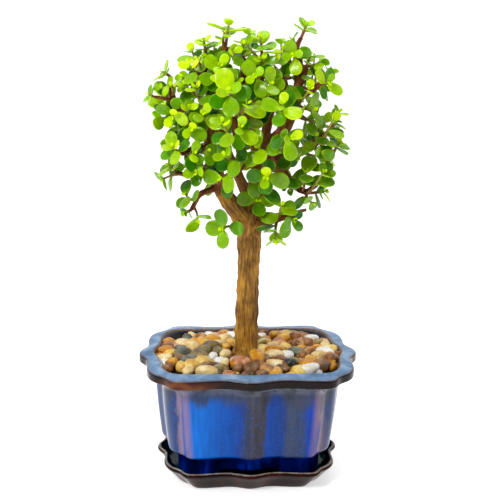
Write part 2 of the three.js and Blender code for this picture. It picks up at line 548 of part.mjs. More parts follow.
// Repeatable irregularity in 0 to 1.
function chance(n) {
  const s = Math.sin(n * 12.9898 + 4.1414) * 43758.5453;
  return s - Math.floor(s);
}

const degrees = Math.PI / 180;
const stemSteps = 3;

// Straight pieces of all the wood and stems, which other stems and the leaves keep clear of.
const woodPieces = [];
function noteWood(points, owner) {
  for (let i = 0; i < points.length - 1; i += 1) {
    const a = new Vector3(points[i].x, points[i].y, points[i].z);
    const b = new Vector3(points[i + 1].x, points[i + 1].y, points[i + 1].z);
    woodPieces.push({ line: new THREE.Line3(a, b), radius: Math.max(points[i].w, points[i + 1].w), owner });
  }
}
for (const [name, places] of Object.entries(limbs)) {
  noteWood(Array.from({ length: 13 }, (unused, i) => along(places, i / 12)), name);
}

// A point along the stem of a shoot, at a share of its joints.
function stemPoint(shoot, share) {
  const i = Math.min(Math.floor(share * stemSteps), stemSteps - 1);
  return shoot.joints[i].clone().lerp(shoot.joints[i + 1], share * stemSteps - i);
}

function stemRadius(shoot, share) {
  return shoot.thick + (shoot.thin - shoot.thick) * share;
}

// The least room between a stem and the wood around it, apart from the limb that it grows on.
const nearest = new Vector3();
function stemRoom(shoot) {
  let room = Infinity;
  for (const share of [0.2, 0.35, 0.5, 0.65, 0.8, 0.95]) {
    const point = stemPoint(shoot, share);
    for (const { line, radius, owner } of woodPieces) {
      if (owner === shoot.limb) continue;
      line.closestPointToPoint(point, true, nearest);
      room = Math.min(room, nearest.distanceTo(point) - radius - stemRadius(shoot, share));
    }
  }
  return room;
}

// Ways a stem can step aside from other wood: along its limb, sideways, and in how far it hangs.
const stemTries = [[0, 0, 0], [0, 0.12, 0], [0, -0.12, 0], [0.05, 0, 0], [-0.05, 0, 0], [0, 0.22, 0.05],
  [0, -0.22, 0.05], [0.08, 0.15, 0], [0.08, -0.15, 0], [-0.08, 0.15, 0], [-0.08, -0.15, 0]];
const stemWish = 0.8;            // room that a stem would like around it

function makeShoot(name, order) {
  const [limb, at, tip, pairs, leaf, turn, hang] = shoots[name];
  const ways = stemTries.map(([ahead, aside, drop]) => {
    const root = along(limbs[limb], at === 1 ? at : at + ahead);
    const start = new Vector3(root.x, root.y, root.z);
    const end4 = crownPoint(tip);
    const end = new Vector3(end4.x, end4.y, end4.z);
    const reach = start.distanceTo(end);
    const level = new Vector3(end.y - start.y, start.x - end.x, 0).normalize();
    const handle = start.clone().lerp(end, 0.5).add(new Vector3(0, 0, -(hang + drop) * reach))
      .addScaledVector(level, aside * reach);
    const thick = Math.min(root.w * 0.8, 0.75 + 0.011 * reach + 0.12 * pairs);
    return {
      name, order, limb, pairs, turn, reach, thick, thin: 0.55,
      leaf: leaf * leafScale,
      joints: new THREE.QuadraticBezierCurve3(start, handle, end).getPoints(stemSteps),
    };
  });
  const rooms = ways.map(stemRoom);
  const free = rooms.findIndex((room) => room >= stemWish);
  const shoot = ways[free >= 0 ? free : rooms.indexOf(Math.max(...rooms))];
  noteWood(shoot.joints.map((p, i) => new Vector4(p.x, p.y, p.z, stemRadius(shoot, i / stemSteps))), name);
  return shoot;
}

const shootList = Object.keys(shoots).map(makeShoot);

// The stem's direction and a level direction across it, at a share of its length.
function stemFrame(shoot, share) {
  const ahead = Math.min(Math.max(share + 0.1, 0.2), 1);
  const tangent = stemPoint(shoot, ahead).sub(stemPoint(shoot, ahead - 0.2)).normalize();
  const tip = stemPoint(shoot, 1).sub(stemPoint(shoot, 0.8)).normalize();
  const up = Math.abs(tip.z) < 0.85 ? new Vector3(0, 0, 1) : new Vector3(0, -1, 0);
  return { tangent, across: new Vector3().crossVectors(tangent, up).normalize() };
}

// Where each pair of leaves sits, as a share of the stem.
function nodeShare(shoot, pair) {
  const spread = 0.62 * shoot.leaf * (shoot.pairs - 1) / Math.max(shoot.reach, 1);
  const last = 1 - 1.4 / shoot.reach;
  if (shoot.pairs === 1) return last;
  const first = Math.max(0.45, 1 - spread);
  return first + (last - first) * pair / (shoot.pairs - 1);
}

// Half width of a leaf of length L at the share u along it: a wedge that swells to a round end.
function leafHalfWidth(u, length) {
  const s = Math.max(u, 0) ** 1.5;
  return 0.5 * leafWide * length * Math.sqrt(Math.max(0, 1 - (2 * s - 1) ** 2));
}

function leafPoint(leaf, u, across, lift) {
  return leaf.root.clone().addScaledVector(leaf.axis, u * leaf.length)
    .addScaledVector(leaf.side, across)
    .addScaledVector(leaf.face, lift - leafArch * leaf.length * u * u);
}

function placeLeaf(root, axis, face, length) {
  const leaf = { root, axis, face, length, side: new Vector3().crossVectors(face, axis) };
  leaf.middle = root.clone().addScaledVector(axis, length * 0.55);
  leaf.probes = [];
  for (const u of [0.32, 0.48, 0.64, 0.8, 0.96]) {
    const half = leafHalfWidth(u, length);
    for (const v of [-0.85, -0.42, 0, 0.42, 0.85]) leaf.probes.push(leafPoint(leaf, u, v * half, 0));
  }
  return leaf;
}

// Whether any of the points lies in the leaf or within the least room around it.
function leafHolds(leaf, points) {
  const local = new Vector3();
  return points.some((point) => {
    local.subVectors(point, leaf.root);
    const u = local.dot(leaf.axis) / leaf.length;
    if (u <= 0.12 || u >= 1 + leafRoom / leaf.length) return false;
    if (Math.abs(local.dot(leaf.side)) >= leafHalfWidth(u, leaf.length) + leafRoom) return false;
    const height = local.dot(leaf.face) + leafArch * leaf.length * u * u;
    return Math.abs(height) < leafThick * leaf.length + leafRoom;
  });
}

function touchesWood(leaf, shoot) {
  const reach = leafThick * leaf.length * 0.5 + leafRoom;
  return woodPieces.some(({ line, radius, owner }) => {
    if (owner === shoot.name) return false;
    line.getCenter(nearest);
    if (nearest.distanceTo(leaf.middle) > leaf.length + radius + 0.5 * line.distance() + 2) return false;
    return leaf.probes.some((point) => {
      line.closestPointToPoint(point, true, nearest);
      return nearest.distanceTo(point) < radius + reach;
    });
  });
}

// Ways a crowded leaf can turn aside or stay small: turn, opening, share of its length.
const leafTries = [[0, 0, 1], [16, 0, 1], [-16, 0, 1], [0, 14, 0.95], [0, -14, 0.95], [30, 0, 0.9],
  [-30, 0, 0.9], [22, 14, 0.82], [-22, 14, 0.82], [0, 0, 0.72], [35, -12, 0.7], [-35, -12, 0.7], [0, 10, 0.55]];

const leaves = [];
function growLeaf(shoot, pair, side) {
  const { pairs, order } = shoot;
  const share = nodeShare(shoot, pair);
  const base = stemPoint(shoot, share);
  const { tangent, across } = stemFrame(shoot, share);
  const isBud = pair === pairs - 1 && pairs > 2;
  const opening = (isBud ? 50 : 68) + 10 * (chance(order * 7 + pair * 3) - 0.5);
  const size = isBud ? 0.62 : (pair === pairs - 2 || pairs < 3 ? 1 : 0.92);
  const seed = order * 31 + pair * 5 + side * 2;
  const turn = shoot.turn + 90 * pair + 180 * side + 16 * (chance(seed) - 0.5);
  const length = shoot.leaf * size * (0.92 + 0.16 * chance(seed + 1));
  for (const [aside, lift, share2] of leafTries) {
    const out = across.clone().applyAxisAngle(tangent, (turn + aside) * degrees);
    const angle = (opening + lift) * degrees;
    const axis = tangent.clone().multiplyScalar(Math.cos(angle)).addScaledVector(out, Math.sin(angle));
    const face = tangent.clone().multiplyScalar(Math.sin(angle)).addScaledVector(out, -Math.cos(angle));
    const leaf = placeLeaf(base.clone().addScaledVector(axis, 0.3), axis, face, length * share2);
    const crowded = leaves.some((other) => {
      if (other.middle.distanceTo(leaf.middle) > 0.75 * (other.length + leaf.length)) return false;
      if (other.shoot === shoot && other.pair === pair) return false;
      return leafHolds(other, leaf.probes) || leafHolds(leaf, other.probes);
    });
    if (!crowded && !touchesWood(leaf, shoot)) {
      leaves.push({ ...leaf, shoot, pair, whichSide: side });
      return;
    }
  }
}
for (const shoot of shootList) {
  for (let pair = 0; pair < shoot.pairs; pair += 1) {
    for (const side of [0, 1]) growLeaf(shoot, pair, side);
  }
}

// One closed skin for a shoot: a four-sided stem whose side faces open into thick leaves. A leaf grows
// from a face at its node to a ring of right edge, top, left edge and bottom, then to a blunt tip.
function shootBody(shoot) {
  const half = 0.5 / shoot.reach;
  const nodes = Array.from({ length: shoot.pairs }, (unused, pair) => nodeShare(shoot, pair));
  const bends = [0, ...Array.from({ length: stemSteps - 1 }, (unused, i) => (i + 1) / stemSteps)]
    .filter((share) => nodes.every((node) => Math.abs(node - share) > 2 * half));
  const levels = [...bends, ...nodes.flatMap((node) => [node - half, node + half])].sort((a, b) => a - b);
  const points = levels.flatMap((share) => {
    const { tangent, across } = stemFrame(shoot, share);
    const centre = stemPoint(shoot, share);
    return [0, 1, 2, 3].map((corner) => {
      const out = across.clone().applyAxisAngle(tangent, (shoot.turn - 45 + 90 * corner) * degrees);
      return centre.clone().addScaledVector(out, stemRadius(shoot, share) * 1.15);
    });
  });
  const index = [];
  const addLeaf = (leaf, foot) => {
    const { length } = leaf;
    const thickness = leafThick * length / 2;
    const [broad, end] = [leafHalfWidth(0.62, length), leafHalfWidth(0.96, length)];
    const first = points.length;
    const [bottom, right, top, left, endRight, endLeft] = [0, 1, 2, 3, 4, 5].map((i) => first + i);
    points.push(leafPoint(leaf, 0.58, 0, -thickness), leafPoint(leaf, 0.62, broad, 0),
      leafPoint(leaf, 0.58, 0, thickness), leafPoint(leaf, 0.62, -broad, 0),
      leafPoint(leaf, 0.96, end, 0), leafPoint(leaf, 0.96, -end, 0));
    const rim = [bottom, right, top, left];
    for (let i = 0; i < 4; i += 1) {
      const next = (i + 1) % 4;
      index.push(foot[i], foot[next], rim[next], foot[i], rim[next], rim[i]);
    }
    index.push(bottom, right, endRight, bottom, endRight, endLeft, right, top, endRight);
    index.push(top, left, endLeft, top, endLeft, endRight, left, bottom, endLeft);
  };
  const own = leaves.filter((leaf) => leaf.shoot === shoot);
  for (let level = 0; level < levels.length - 1; level += 1) {
    const pair = nodes.findIndex((node) => Math.abs(node - half - levels[level]) < 1e-9);
    for (let face = 0; face < 4; face += 1) {
      const a = level * 4 + face;
      const b = level * 4 + (face + 1) % 4;
      const foot = [a, b, b + 4, a + 4];
      const leaf = own.find((one) => one.pair === pair && (pair + 2 * one.whichSide) % 4 === face);
      if (leaf) addLeaf(leaf, foot);
      else index.push(a, b, b + 4, a, b + 4, a + 4);
    }
  }
  const top = (levels.length - 1) * 4;
  index.push(0, 3, 2, 0, 2, 1, top, top + 1, top + 2, top, top + 2, top + 3);
  const geometry = new THREE.BufferGeometry().setFromPoints(points);
  geometry.setIndex(index);
  return solid(geometry);
}

// The leafy branches: each is its limbs with the shoots that grow on them, in one piece.
const branches = {
  branch_low_right: ['low_right', 'dead_stub'],
  branch_right: ['mid_right', 'knob', 'red_twig', 'outer_right'],
  branch_upper_right: ['right_arm'],
  branch_inner: ['inner_branch'],
  branch_top_centre: ['tip_branch'],
  branch_top_left: ['top_left'],
  branch_upper_left: ['left_arm', 'left_twig'],
  branch_middle_left: ['mid_left'],
  branch_side_left: ['side_left'],
  branch_low_left: ['low_left'],
  branch_front_left: ['front_limb'],
  branch_front_right: ['front_right'],
  branch_back_left: ['back_left'],
  branch_back_right: ['back_right'],
  branch_back_middle: ['back_mid'],
};
const foliage = { color: 0x6cae12, roughness: 0.3, metalness: 0 };
for (const [name, parts] of Object.entries(branches)) {
  const wood = parts.map((limb) => limbStem(limb, 5));
  const leafy = shootList.filter((shoot) => parts.includes(shoot.limb)).map(shootBody);
  addPiece(name, join([...wood, ...leafy]).subtract(trunkRoom), foliage);
}
for (const shoot of shootList.filter(({ limb }) => trunkLimbs.includes(limb))) {
  addPiece(`shoot_${shoot.name}`, shootBody(shoot).subtract(trunkRoom), foliage);
}

// ---------------------------------------------------------------- soil

// The soil's mounded top, from the wall in to the trunk, raised by a given height.
function moundRings(rise) {
  return [insideRing(soilEdge + rise, gap), insideRing(soilEdge + rise + soilMound * 0.6, gap, 0.65),
    insideRing(soilTop + rise, gap, 0.25)].map((points, i) => points.map(
    (p) => new Vector3(p.x, p.y, soilEdge + rise + soilMound * [0, 0.6, 1][i])));
}

function makeSoil() {
  const wallRings = [floorTop + gap, floorTop + 3].map((z) => insideRing(z, gap));
  let soil = solid(loft([...wallRings, ...moundRings(0)])).subtract(trunkRoom);
  const recess = screenSize + 2 * gap;
  for (const side of [-1, 1]) {
    soil = soil.subtract(
      block(recess, recess, screenThickness + 2 * gap, side * drainSpacing / 2, 0, screenBottom - gap));
  }
  return soil;
}

addPiece('soil', makeSoil(), { color: 0x2e2018, roughness: 1, metalness: 0 });

// ---------------------------------------------------------------- pebbles

function pebbleBody(x, y, z, [a, b, c], turn, grow = 0) {
  const geometry = new THREE.IcosahedronGeometry(1, 1);
  geometry.scale(a + grow, b + grow, c + grow);
  geometry.rotateZ(turn);
  geometry.translate(x, y, z);
  return solid(geometry);
}

// The largest pebbles lie on top: x, y, half sizes, turn about Z in degrees.
const largePebbles = {
  pebble_pink: [-0.115, -0.526, [10.5, 5.4, 4.6], -55],
  pebble_amber: [0.076, -0.39, [8.5, 5.8, 4.6], 80],
  pebble_cream: [-0.458, -0.78, [8.5, 5.2, 4.2], -12],
  pebble_white: [0.58, -0.741, [7.6, 5.4, 4.6], -10],
  pebble_black: [0.412, -0.565, [5.2, 4.6, 4.2], 30],
  pebble_honey: [0.26, -0.078, [6.4, 4.8, 4], 15],
  pebble_tan: [0.611, 0.234, [8.4, 5.4, 4.4], -8],
  pebble_grey: [-0.702, -0.097, [7, 5, 4], 10],
};

function pebbleHeight(x, y) {
  const reach = Math.hypot(x / innerWidth, y / innerDepth);
  return gritTop + soilMound * Math.max(0, 1 - reach * reach);
}

// The bed's pebbles: centre, half sizes and turn about Z of each.
function scatterPebbles() {
  const pebbles = [];
  const rowPitch = pebblePitch * 0.866;
  const rows = Math.floor(innerDepth / rowPitch);
  const columns = Math.floor(innerWidth / pebblePitch);
  for (let row = -rows; row <= rows; row += 1) {
    for (let column = -columns; column <= columns; column += 1) {
      const seed = 500 + (row + rows) * 41 + (column + columns) * 3;
      const x = (column + (row % 2 ? 0.5 : 0)) * pebblePitch + 3.4 * (chance(seed) - 0.5);
      const y = row * rowPitch + 3.4 * (chance(seed + 1) - 0.5);
      if (Math.hypot(x / (innerWidth - 4), y / (innerDepth - 3)) > 1.12) continue;
      const size = pebbleRadius * (0.85 + 0.4 * chance(seed + 2));
      const half = [size, size * (0.68 + 0.2 * chance(seed + 3)), size * (0.55 + 0.2 * chance(seed + 4))];
      const z = pebbleHeight(x, y) + 1.2 + 1.4 * chance(seed + 5);
      pebbles.push({ x, y, z, half, turn: chance(seed + 6) * Math.PI });
    }
  }
  return pebbles;
}

// Height of the bed at a point: the highest pebble that covers it, or the grit between them.
function bedHeight(pebbles, x, y) {
  let height = pebbleHeight(x, y);
  for (const pebble of pebbles) {
    const [dx, dy] = [x - pebble.x, y - pebble.y];
    const u = (dx * Math.cos(pebble.turn) + dy * Math.sin(pebble.turn)) / pebble.half[0];
    const v = (dy * Math.cos(pebble.turn) - dx * Math.sin(pebble.turn)) / pebble.half[1];
    const rest = 1 - u * u - v * v;
    if (rest > 0) height = Math.max(height, pebble.z + pebble.half[2] * Math.sqrt(rest));
  }
  return height;
}

function makePebbleBed() {
  const pebbles = scatterPebbles();
  const bottom = moundRings(gap).reverse();
  const rings = 9;
  const top = Array.from({ length: rings }, (unused, i) => insideRing(gritTop, gap, 1 - (i + 0.5) / rings)
    .map((p) => p.setZ(bedHeight(pebbles, p.x, p.y))));
  return solid(loft([...bottom, insideRing(gritTop, gap), ...top])).subtract(trunkRoom);
}

let bed = makePebbleBed();
for (const [name, [wide, deep, half, turn]] of Object.entries(largePebbles)) {
  const [x, y] = [wide * innerWidth, deep * innerDepth];
  const z = pebbleHeight(x, y) + half[2] * 0.9 + 1.6;
  const place = [x, y, z, half, turn * degrees];
  addPiece(name, pebbleBody(...place), { color: 0xc9a26b, roughness: 0.5, metalness: 0 });
  bed = bed.subtract(pebbleBody(...place, gap));
}
addPiece('pebble_bed', bed, { color: 0xa98a5c, roughness: 0.6, metalness: 0 });

export default part;
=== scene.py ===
import math

import bmesh
import bpy
import numpy as np
from mathutils import Matrix, Vector, noise
from mathutils.kdtree import KDTree


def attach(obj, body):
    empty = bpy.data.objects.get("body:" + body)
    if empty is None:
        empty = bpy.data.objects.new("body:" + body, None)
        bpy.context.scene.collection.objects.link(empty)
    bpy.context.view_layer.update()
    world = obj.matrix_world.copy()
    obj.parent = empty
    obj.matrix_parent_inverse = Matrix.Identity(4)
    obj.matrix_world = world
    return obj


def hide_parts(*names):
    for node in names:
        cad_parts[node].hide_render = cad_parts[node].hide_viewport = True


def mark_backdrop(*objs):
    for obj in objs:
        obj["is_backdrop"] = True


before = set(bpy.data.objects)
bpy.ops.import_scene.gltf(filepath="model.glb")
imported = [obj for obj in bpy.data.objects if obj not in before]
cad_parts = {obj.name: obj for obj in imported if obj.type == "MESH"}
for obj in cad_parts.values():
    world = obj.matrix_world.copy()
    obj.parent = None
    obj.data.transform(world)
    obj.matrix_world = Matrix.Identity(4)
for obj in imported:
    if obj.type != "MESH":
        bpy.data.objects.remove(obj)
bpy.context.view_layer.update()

MM = 0.001

# ---------------------------------------------------------------- sizes shared with the part

GAP = 0.3
SAUCER_MARGIN_WIDE, SAUCER_MARGIN_DEEP, SAUCER_HEIGHT = 10.5, 13.7, 14.5
SAUCER_FLOOR, SAUCER_LIP, SAUCER_FLARE = 4.2, 3.2, 9.5
POT_WIDTH, POT_DEPTH, POT_HEIGHT = 152, 127.6, 80.4
RIM_BAND, RIM_FLANGE, RIM_OVERHANG = 6.3, 10.5, 11
BODY_TAPER, FOOT_HEIGHT, FOOT_INSET, FOOT_RING, FOOT_ARCH = 4.5, 17.5, 7.5, 7, 7
WALL, DRAIN_HOLE, DRAIN_INSET = 5.5, 14, 28
SOIL_BELOW_RIM, SOIL_MOUND, PEBBLE_BED = 10.5, 4, 2.4
FORK_HEIGHT, TRUNK_RADIUS = 176, 7.8
CROWN_WIDTH, CROWN_DEPTH, CROWN_HEIGHT = 150, 116, 136
DRAWN_WIDTH, DRAWN_DEPTH, DRAWN_HEIGHT = 150, 116, 136     # the crown that the places below are drawn for
LEAF_SCALE, LEAF_WIDE, LEAF_THICK, LEAF_ARCH, LEAF_ROOM = 1.13, 0.76, 0.15, 0.13, 0.45

# The looks alone set these: the bed's single stones, which lie closer than the part's joined bed.
PEBBLE_PITCH, PEBBLE_RADIUS, PEBBLE_STRAY = 10.6, 6.1, 3.6
HEXAGON = 0.866        # row spacing over pitch, where stones lie in hexagons

HALF_WIDTH, HALF_DEPTH = POT_WIDTH / 2, POT_DEPTH / 2
FOOT_WIDTH = HALF_WIDTH - RIM_OVERHANG - BODY_TAPER - FOOT_INSET
FOOT_DEPTH = HALF_DEPTH - RIM_OVERHANG - BODY_TAPER - FOOT_INSET
SAUCER_WIDTH = 2 * (FOOT_WIDTH + SAUCER_MARGIN_WIDE)
SAUCER_DEPTH = 2 * (FOOT_DEPTH + SAUCER_MARGIN_DEEP)
DRAIN_SPACING = 2 * (HALF_WIDTH - RIM_OVERHANG - BODY_TAPER - WALL - DRAIN_INSET)
POT_BASE = SAUCER_FLOOR + GAP
RIM_TOP = POT_BASE + POT_HEIGHT
RIM_FACE = RIM_TOP - 1.2
RIM_UNDER = RIM_FACE - RIM_BAND
BODY_TOP = RIM_UNDER - 6
BODY_BOTTOM = POT_BASE + FOOT_HEIGHT
FLOOR_TOP = BODY_BOTTOM + WALL
SOIL_EDGE = RIM_TOP - SOIL_BELOW_RIM
SOIL_TOP = SOIL_EDGE + SOIL_MOUND
GRIT_TOP = SOIL_EDGE + GAP + PEBBLE_BED
INNER_WIDTH = HALF_WIDTH - RIM_FLANGE
INNER_DEPTH = HALF_DEPTH - RIM_FLANGE - 2

# Each limb: places of x, y, height above the fork and radius.
LIMBS = {
    "leader": [[-1, 0, -4, 7.4], [3, 1, 12, 6], [4, 2, 25, 5.6], [5, 1, 39, 5.2], [5, 0, 51, 4.6],
      [0, 2, 64, 3.8], [-2, 4, 79, 3.2], [-5, 2, 95, 2.6], [-6, 0, 110, 1.9]],
    "left_limb": [
      [-2, 0, -3, 6.6], [-9, -3, 8, 6.2], [-17, -6, 19, 6], [-23, -8, 32, 5.2], [-27, -8, 45, 4.6],
      [-28, -6, 58, 4], [-30, -3, 73, 3.4], [-28, 0, 88, 2.9], [-31, 2, 100, 2.4], [-30, 2, 110, 1.9]],
    "right_limb": [[5, 1, 42, 4.6], [10, 2, 50, 4.1], [17, 3, 58, 3.8], [24, 2, 65, 3.6], [28, 0, 76, 3.3],
      [30, 0, 88, 3.1], [31, 0, 99, 2.8], [31, 0, 109, 2.2], [29, 0, 117, 1.8], [32, 0, 124, 1.5]],
    "cut_stub": [[30, 0, 91, 3], [33, -2, 99, 2.7], [35, -3, 105, 2.4]],
    "right_arm": [[31, 0, 85, 2.6], [37, -4, 88, 2.2], [44, -8, 94, 2]],
    "inner_branch": [[7, 1, 49, 4], [11, 8, 63, 3.5], [14, 10, 78, 3], [17, 8, 91, 2.7], [21, 6, 102, 2.3],
      [25, 4, 109, 1.9]],
    "tip_branch": [[-2, 3, 77, 2.4], [4, -2, 88, 2.4], [6, -6, 101, 2.1], [6, -6, 113, 1.7]],
    "low_right": [[3, 0, -5, 4.6], [8, -5, 0, 3.7], [15, -9, 4, 3.3], [23, -12, 7, 2.9]],
    "dead_stub": [[22, -12, 7, 2], [29, -12, 9, 1.4], [37, -12, 11, 1.1]],
    "mid_right": [[6, 1, 34, 3.8], [14, 3, 37, 3.4], [21, 4, 35, 3.1], [26, 2, 29, 2.7], [33, -2, 23, 2.5],
      [39, -5, 21, 1.9]],
    "knob": [[22, 4, 34, 2.4], [22, 3, 28, 2.3], [22, 2, 24, 2.6]],
    "outer_right": [[12, 3, 42, 3.6], [21, 4, 43, 3.2], [30, 2, 46, 3], [39, 0, 51, 2.6], [46, -2, 57, 2.1],
      [53, -3, 64, 1.6]],
    "red_twig": [[38, -4, 22, 1.7], [47, -2, 29, 1.6], [51, 0, 39, 1.6], [56, 0, 49, 1.3]],
    "low_left": [[-22, -8, 25, 2.8], [-28, -12, 24, 2.2], [-34, -15, 22, 1.9], [-37, -17, 18, 1.7],
      [-40, -18, 12, 1.4]],
    "left_arm": [
      [-29, -6, 61, 3], [-36, -8, 67, 2.6], [-44, -8, 73, 2.3], [-50, -6, 79, 2.2], [-53, -4, 88, 1.9],
      [-54, -3, 98, 1.4]],
    "left_twig": [[-52, -6, 82, 1.5], [-58, -8, 84, 1.3], [-64, -9, 85, 1.1]],
    "mid_left": [[-28, -8, 50, 2.8], [-36, -14, 53, 2.4], [-42, -18, 51, 2.2], [-47, -20, 50, 2.2]],
    "side_left": [[-26, -8, 38, 2.4], [-33, -14, 36, 2], [-42, -17, 35, 1.7], [-50, -18, 37, 1.3]],
    "top_left": [[-28, 0, 85, 2.5], [-24, -4, 97, 2.2], [-20, -6, 109, 2], [-18, -6, 118, 2.3]],
    "front_limb": [
      [3, 0, 39, 3.8], [-2, -12, 44, 3.5], [-7, -22, 49, 3.2], [-11, -27, 63, 2.9], [-14, -30, 76, 2.5],
      [-15, -30, 89, 2]],
    "front_right": [
      [6, 0, 24, 3.4], [11, -14, 40, 3], [12, -26, 55, 2.6], [16, -32, 67, 2.3], [18, -34, 79, 1.9]],
    "back_left": [
      [0, 2, 14, 4.4], [-6, 16, 26, 4], [-14, 28, 41, 3.6], [-20, 36, 59, 3.1], [-24, 38, 78, 2.6],
      [-25, 34, 95, 2]],
    "back_right": [
      [5, 3, 22, 4.2], [10, 18, 31, 3.8], [19, 30, 45, 3.3], [25, 38, 62, 2.9], [27, 40, 80, 2.4],
      [24, 36, 97, 1.9]],
    "back_mid": [[5, 4, 36, 3.8], [5, 20, 50, 3.2], [1, 32, 67, 2.7], [0, 38, 85, 2.2], [0, 32, 102, 1.8]],
}

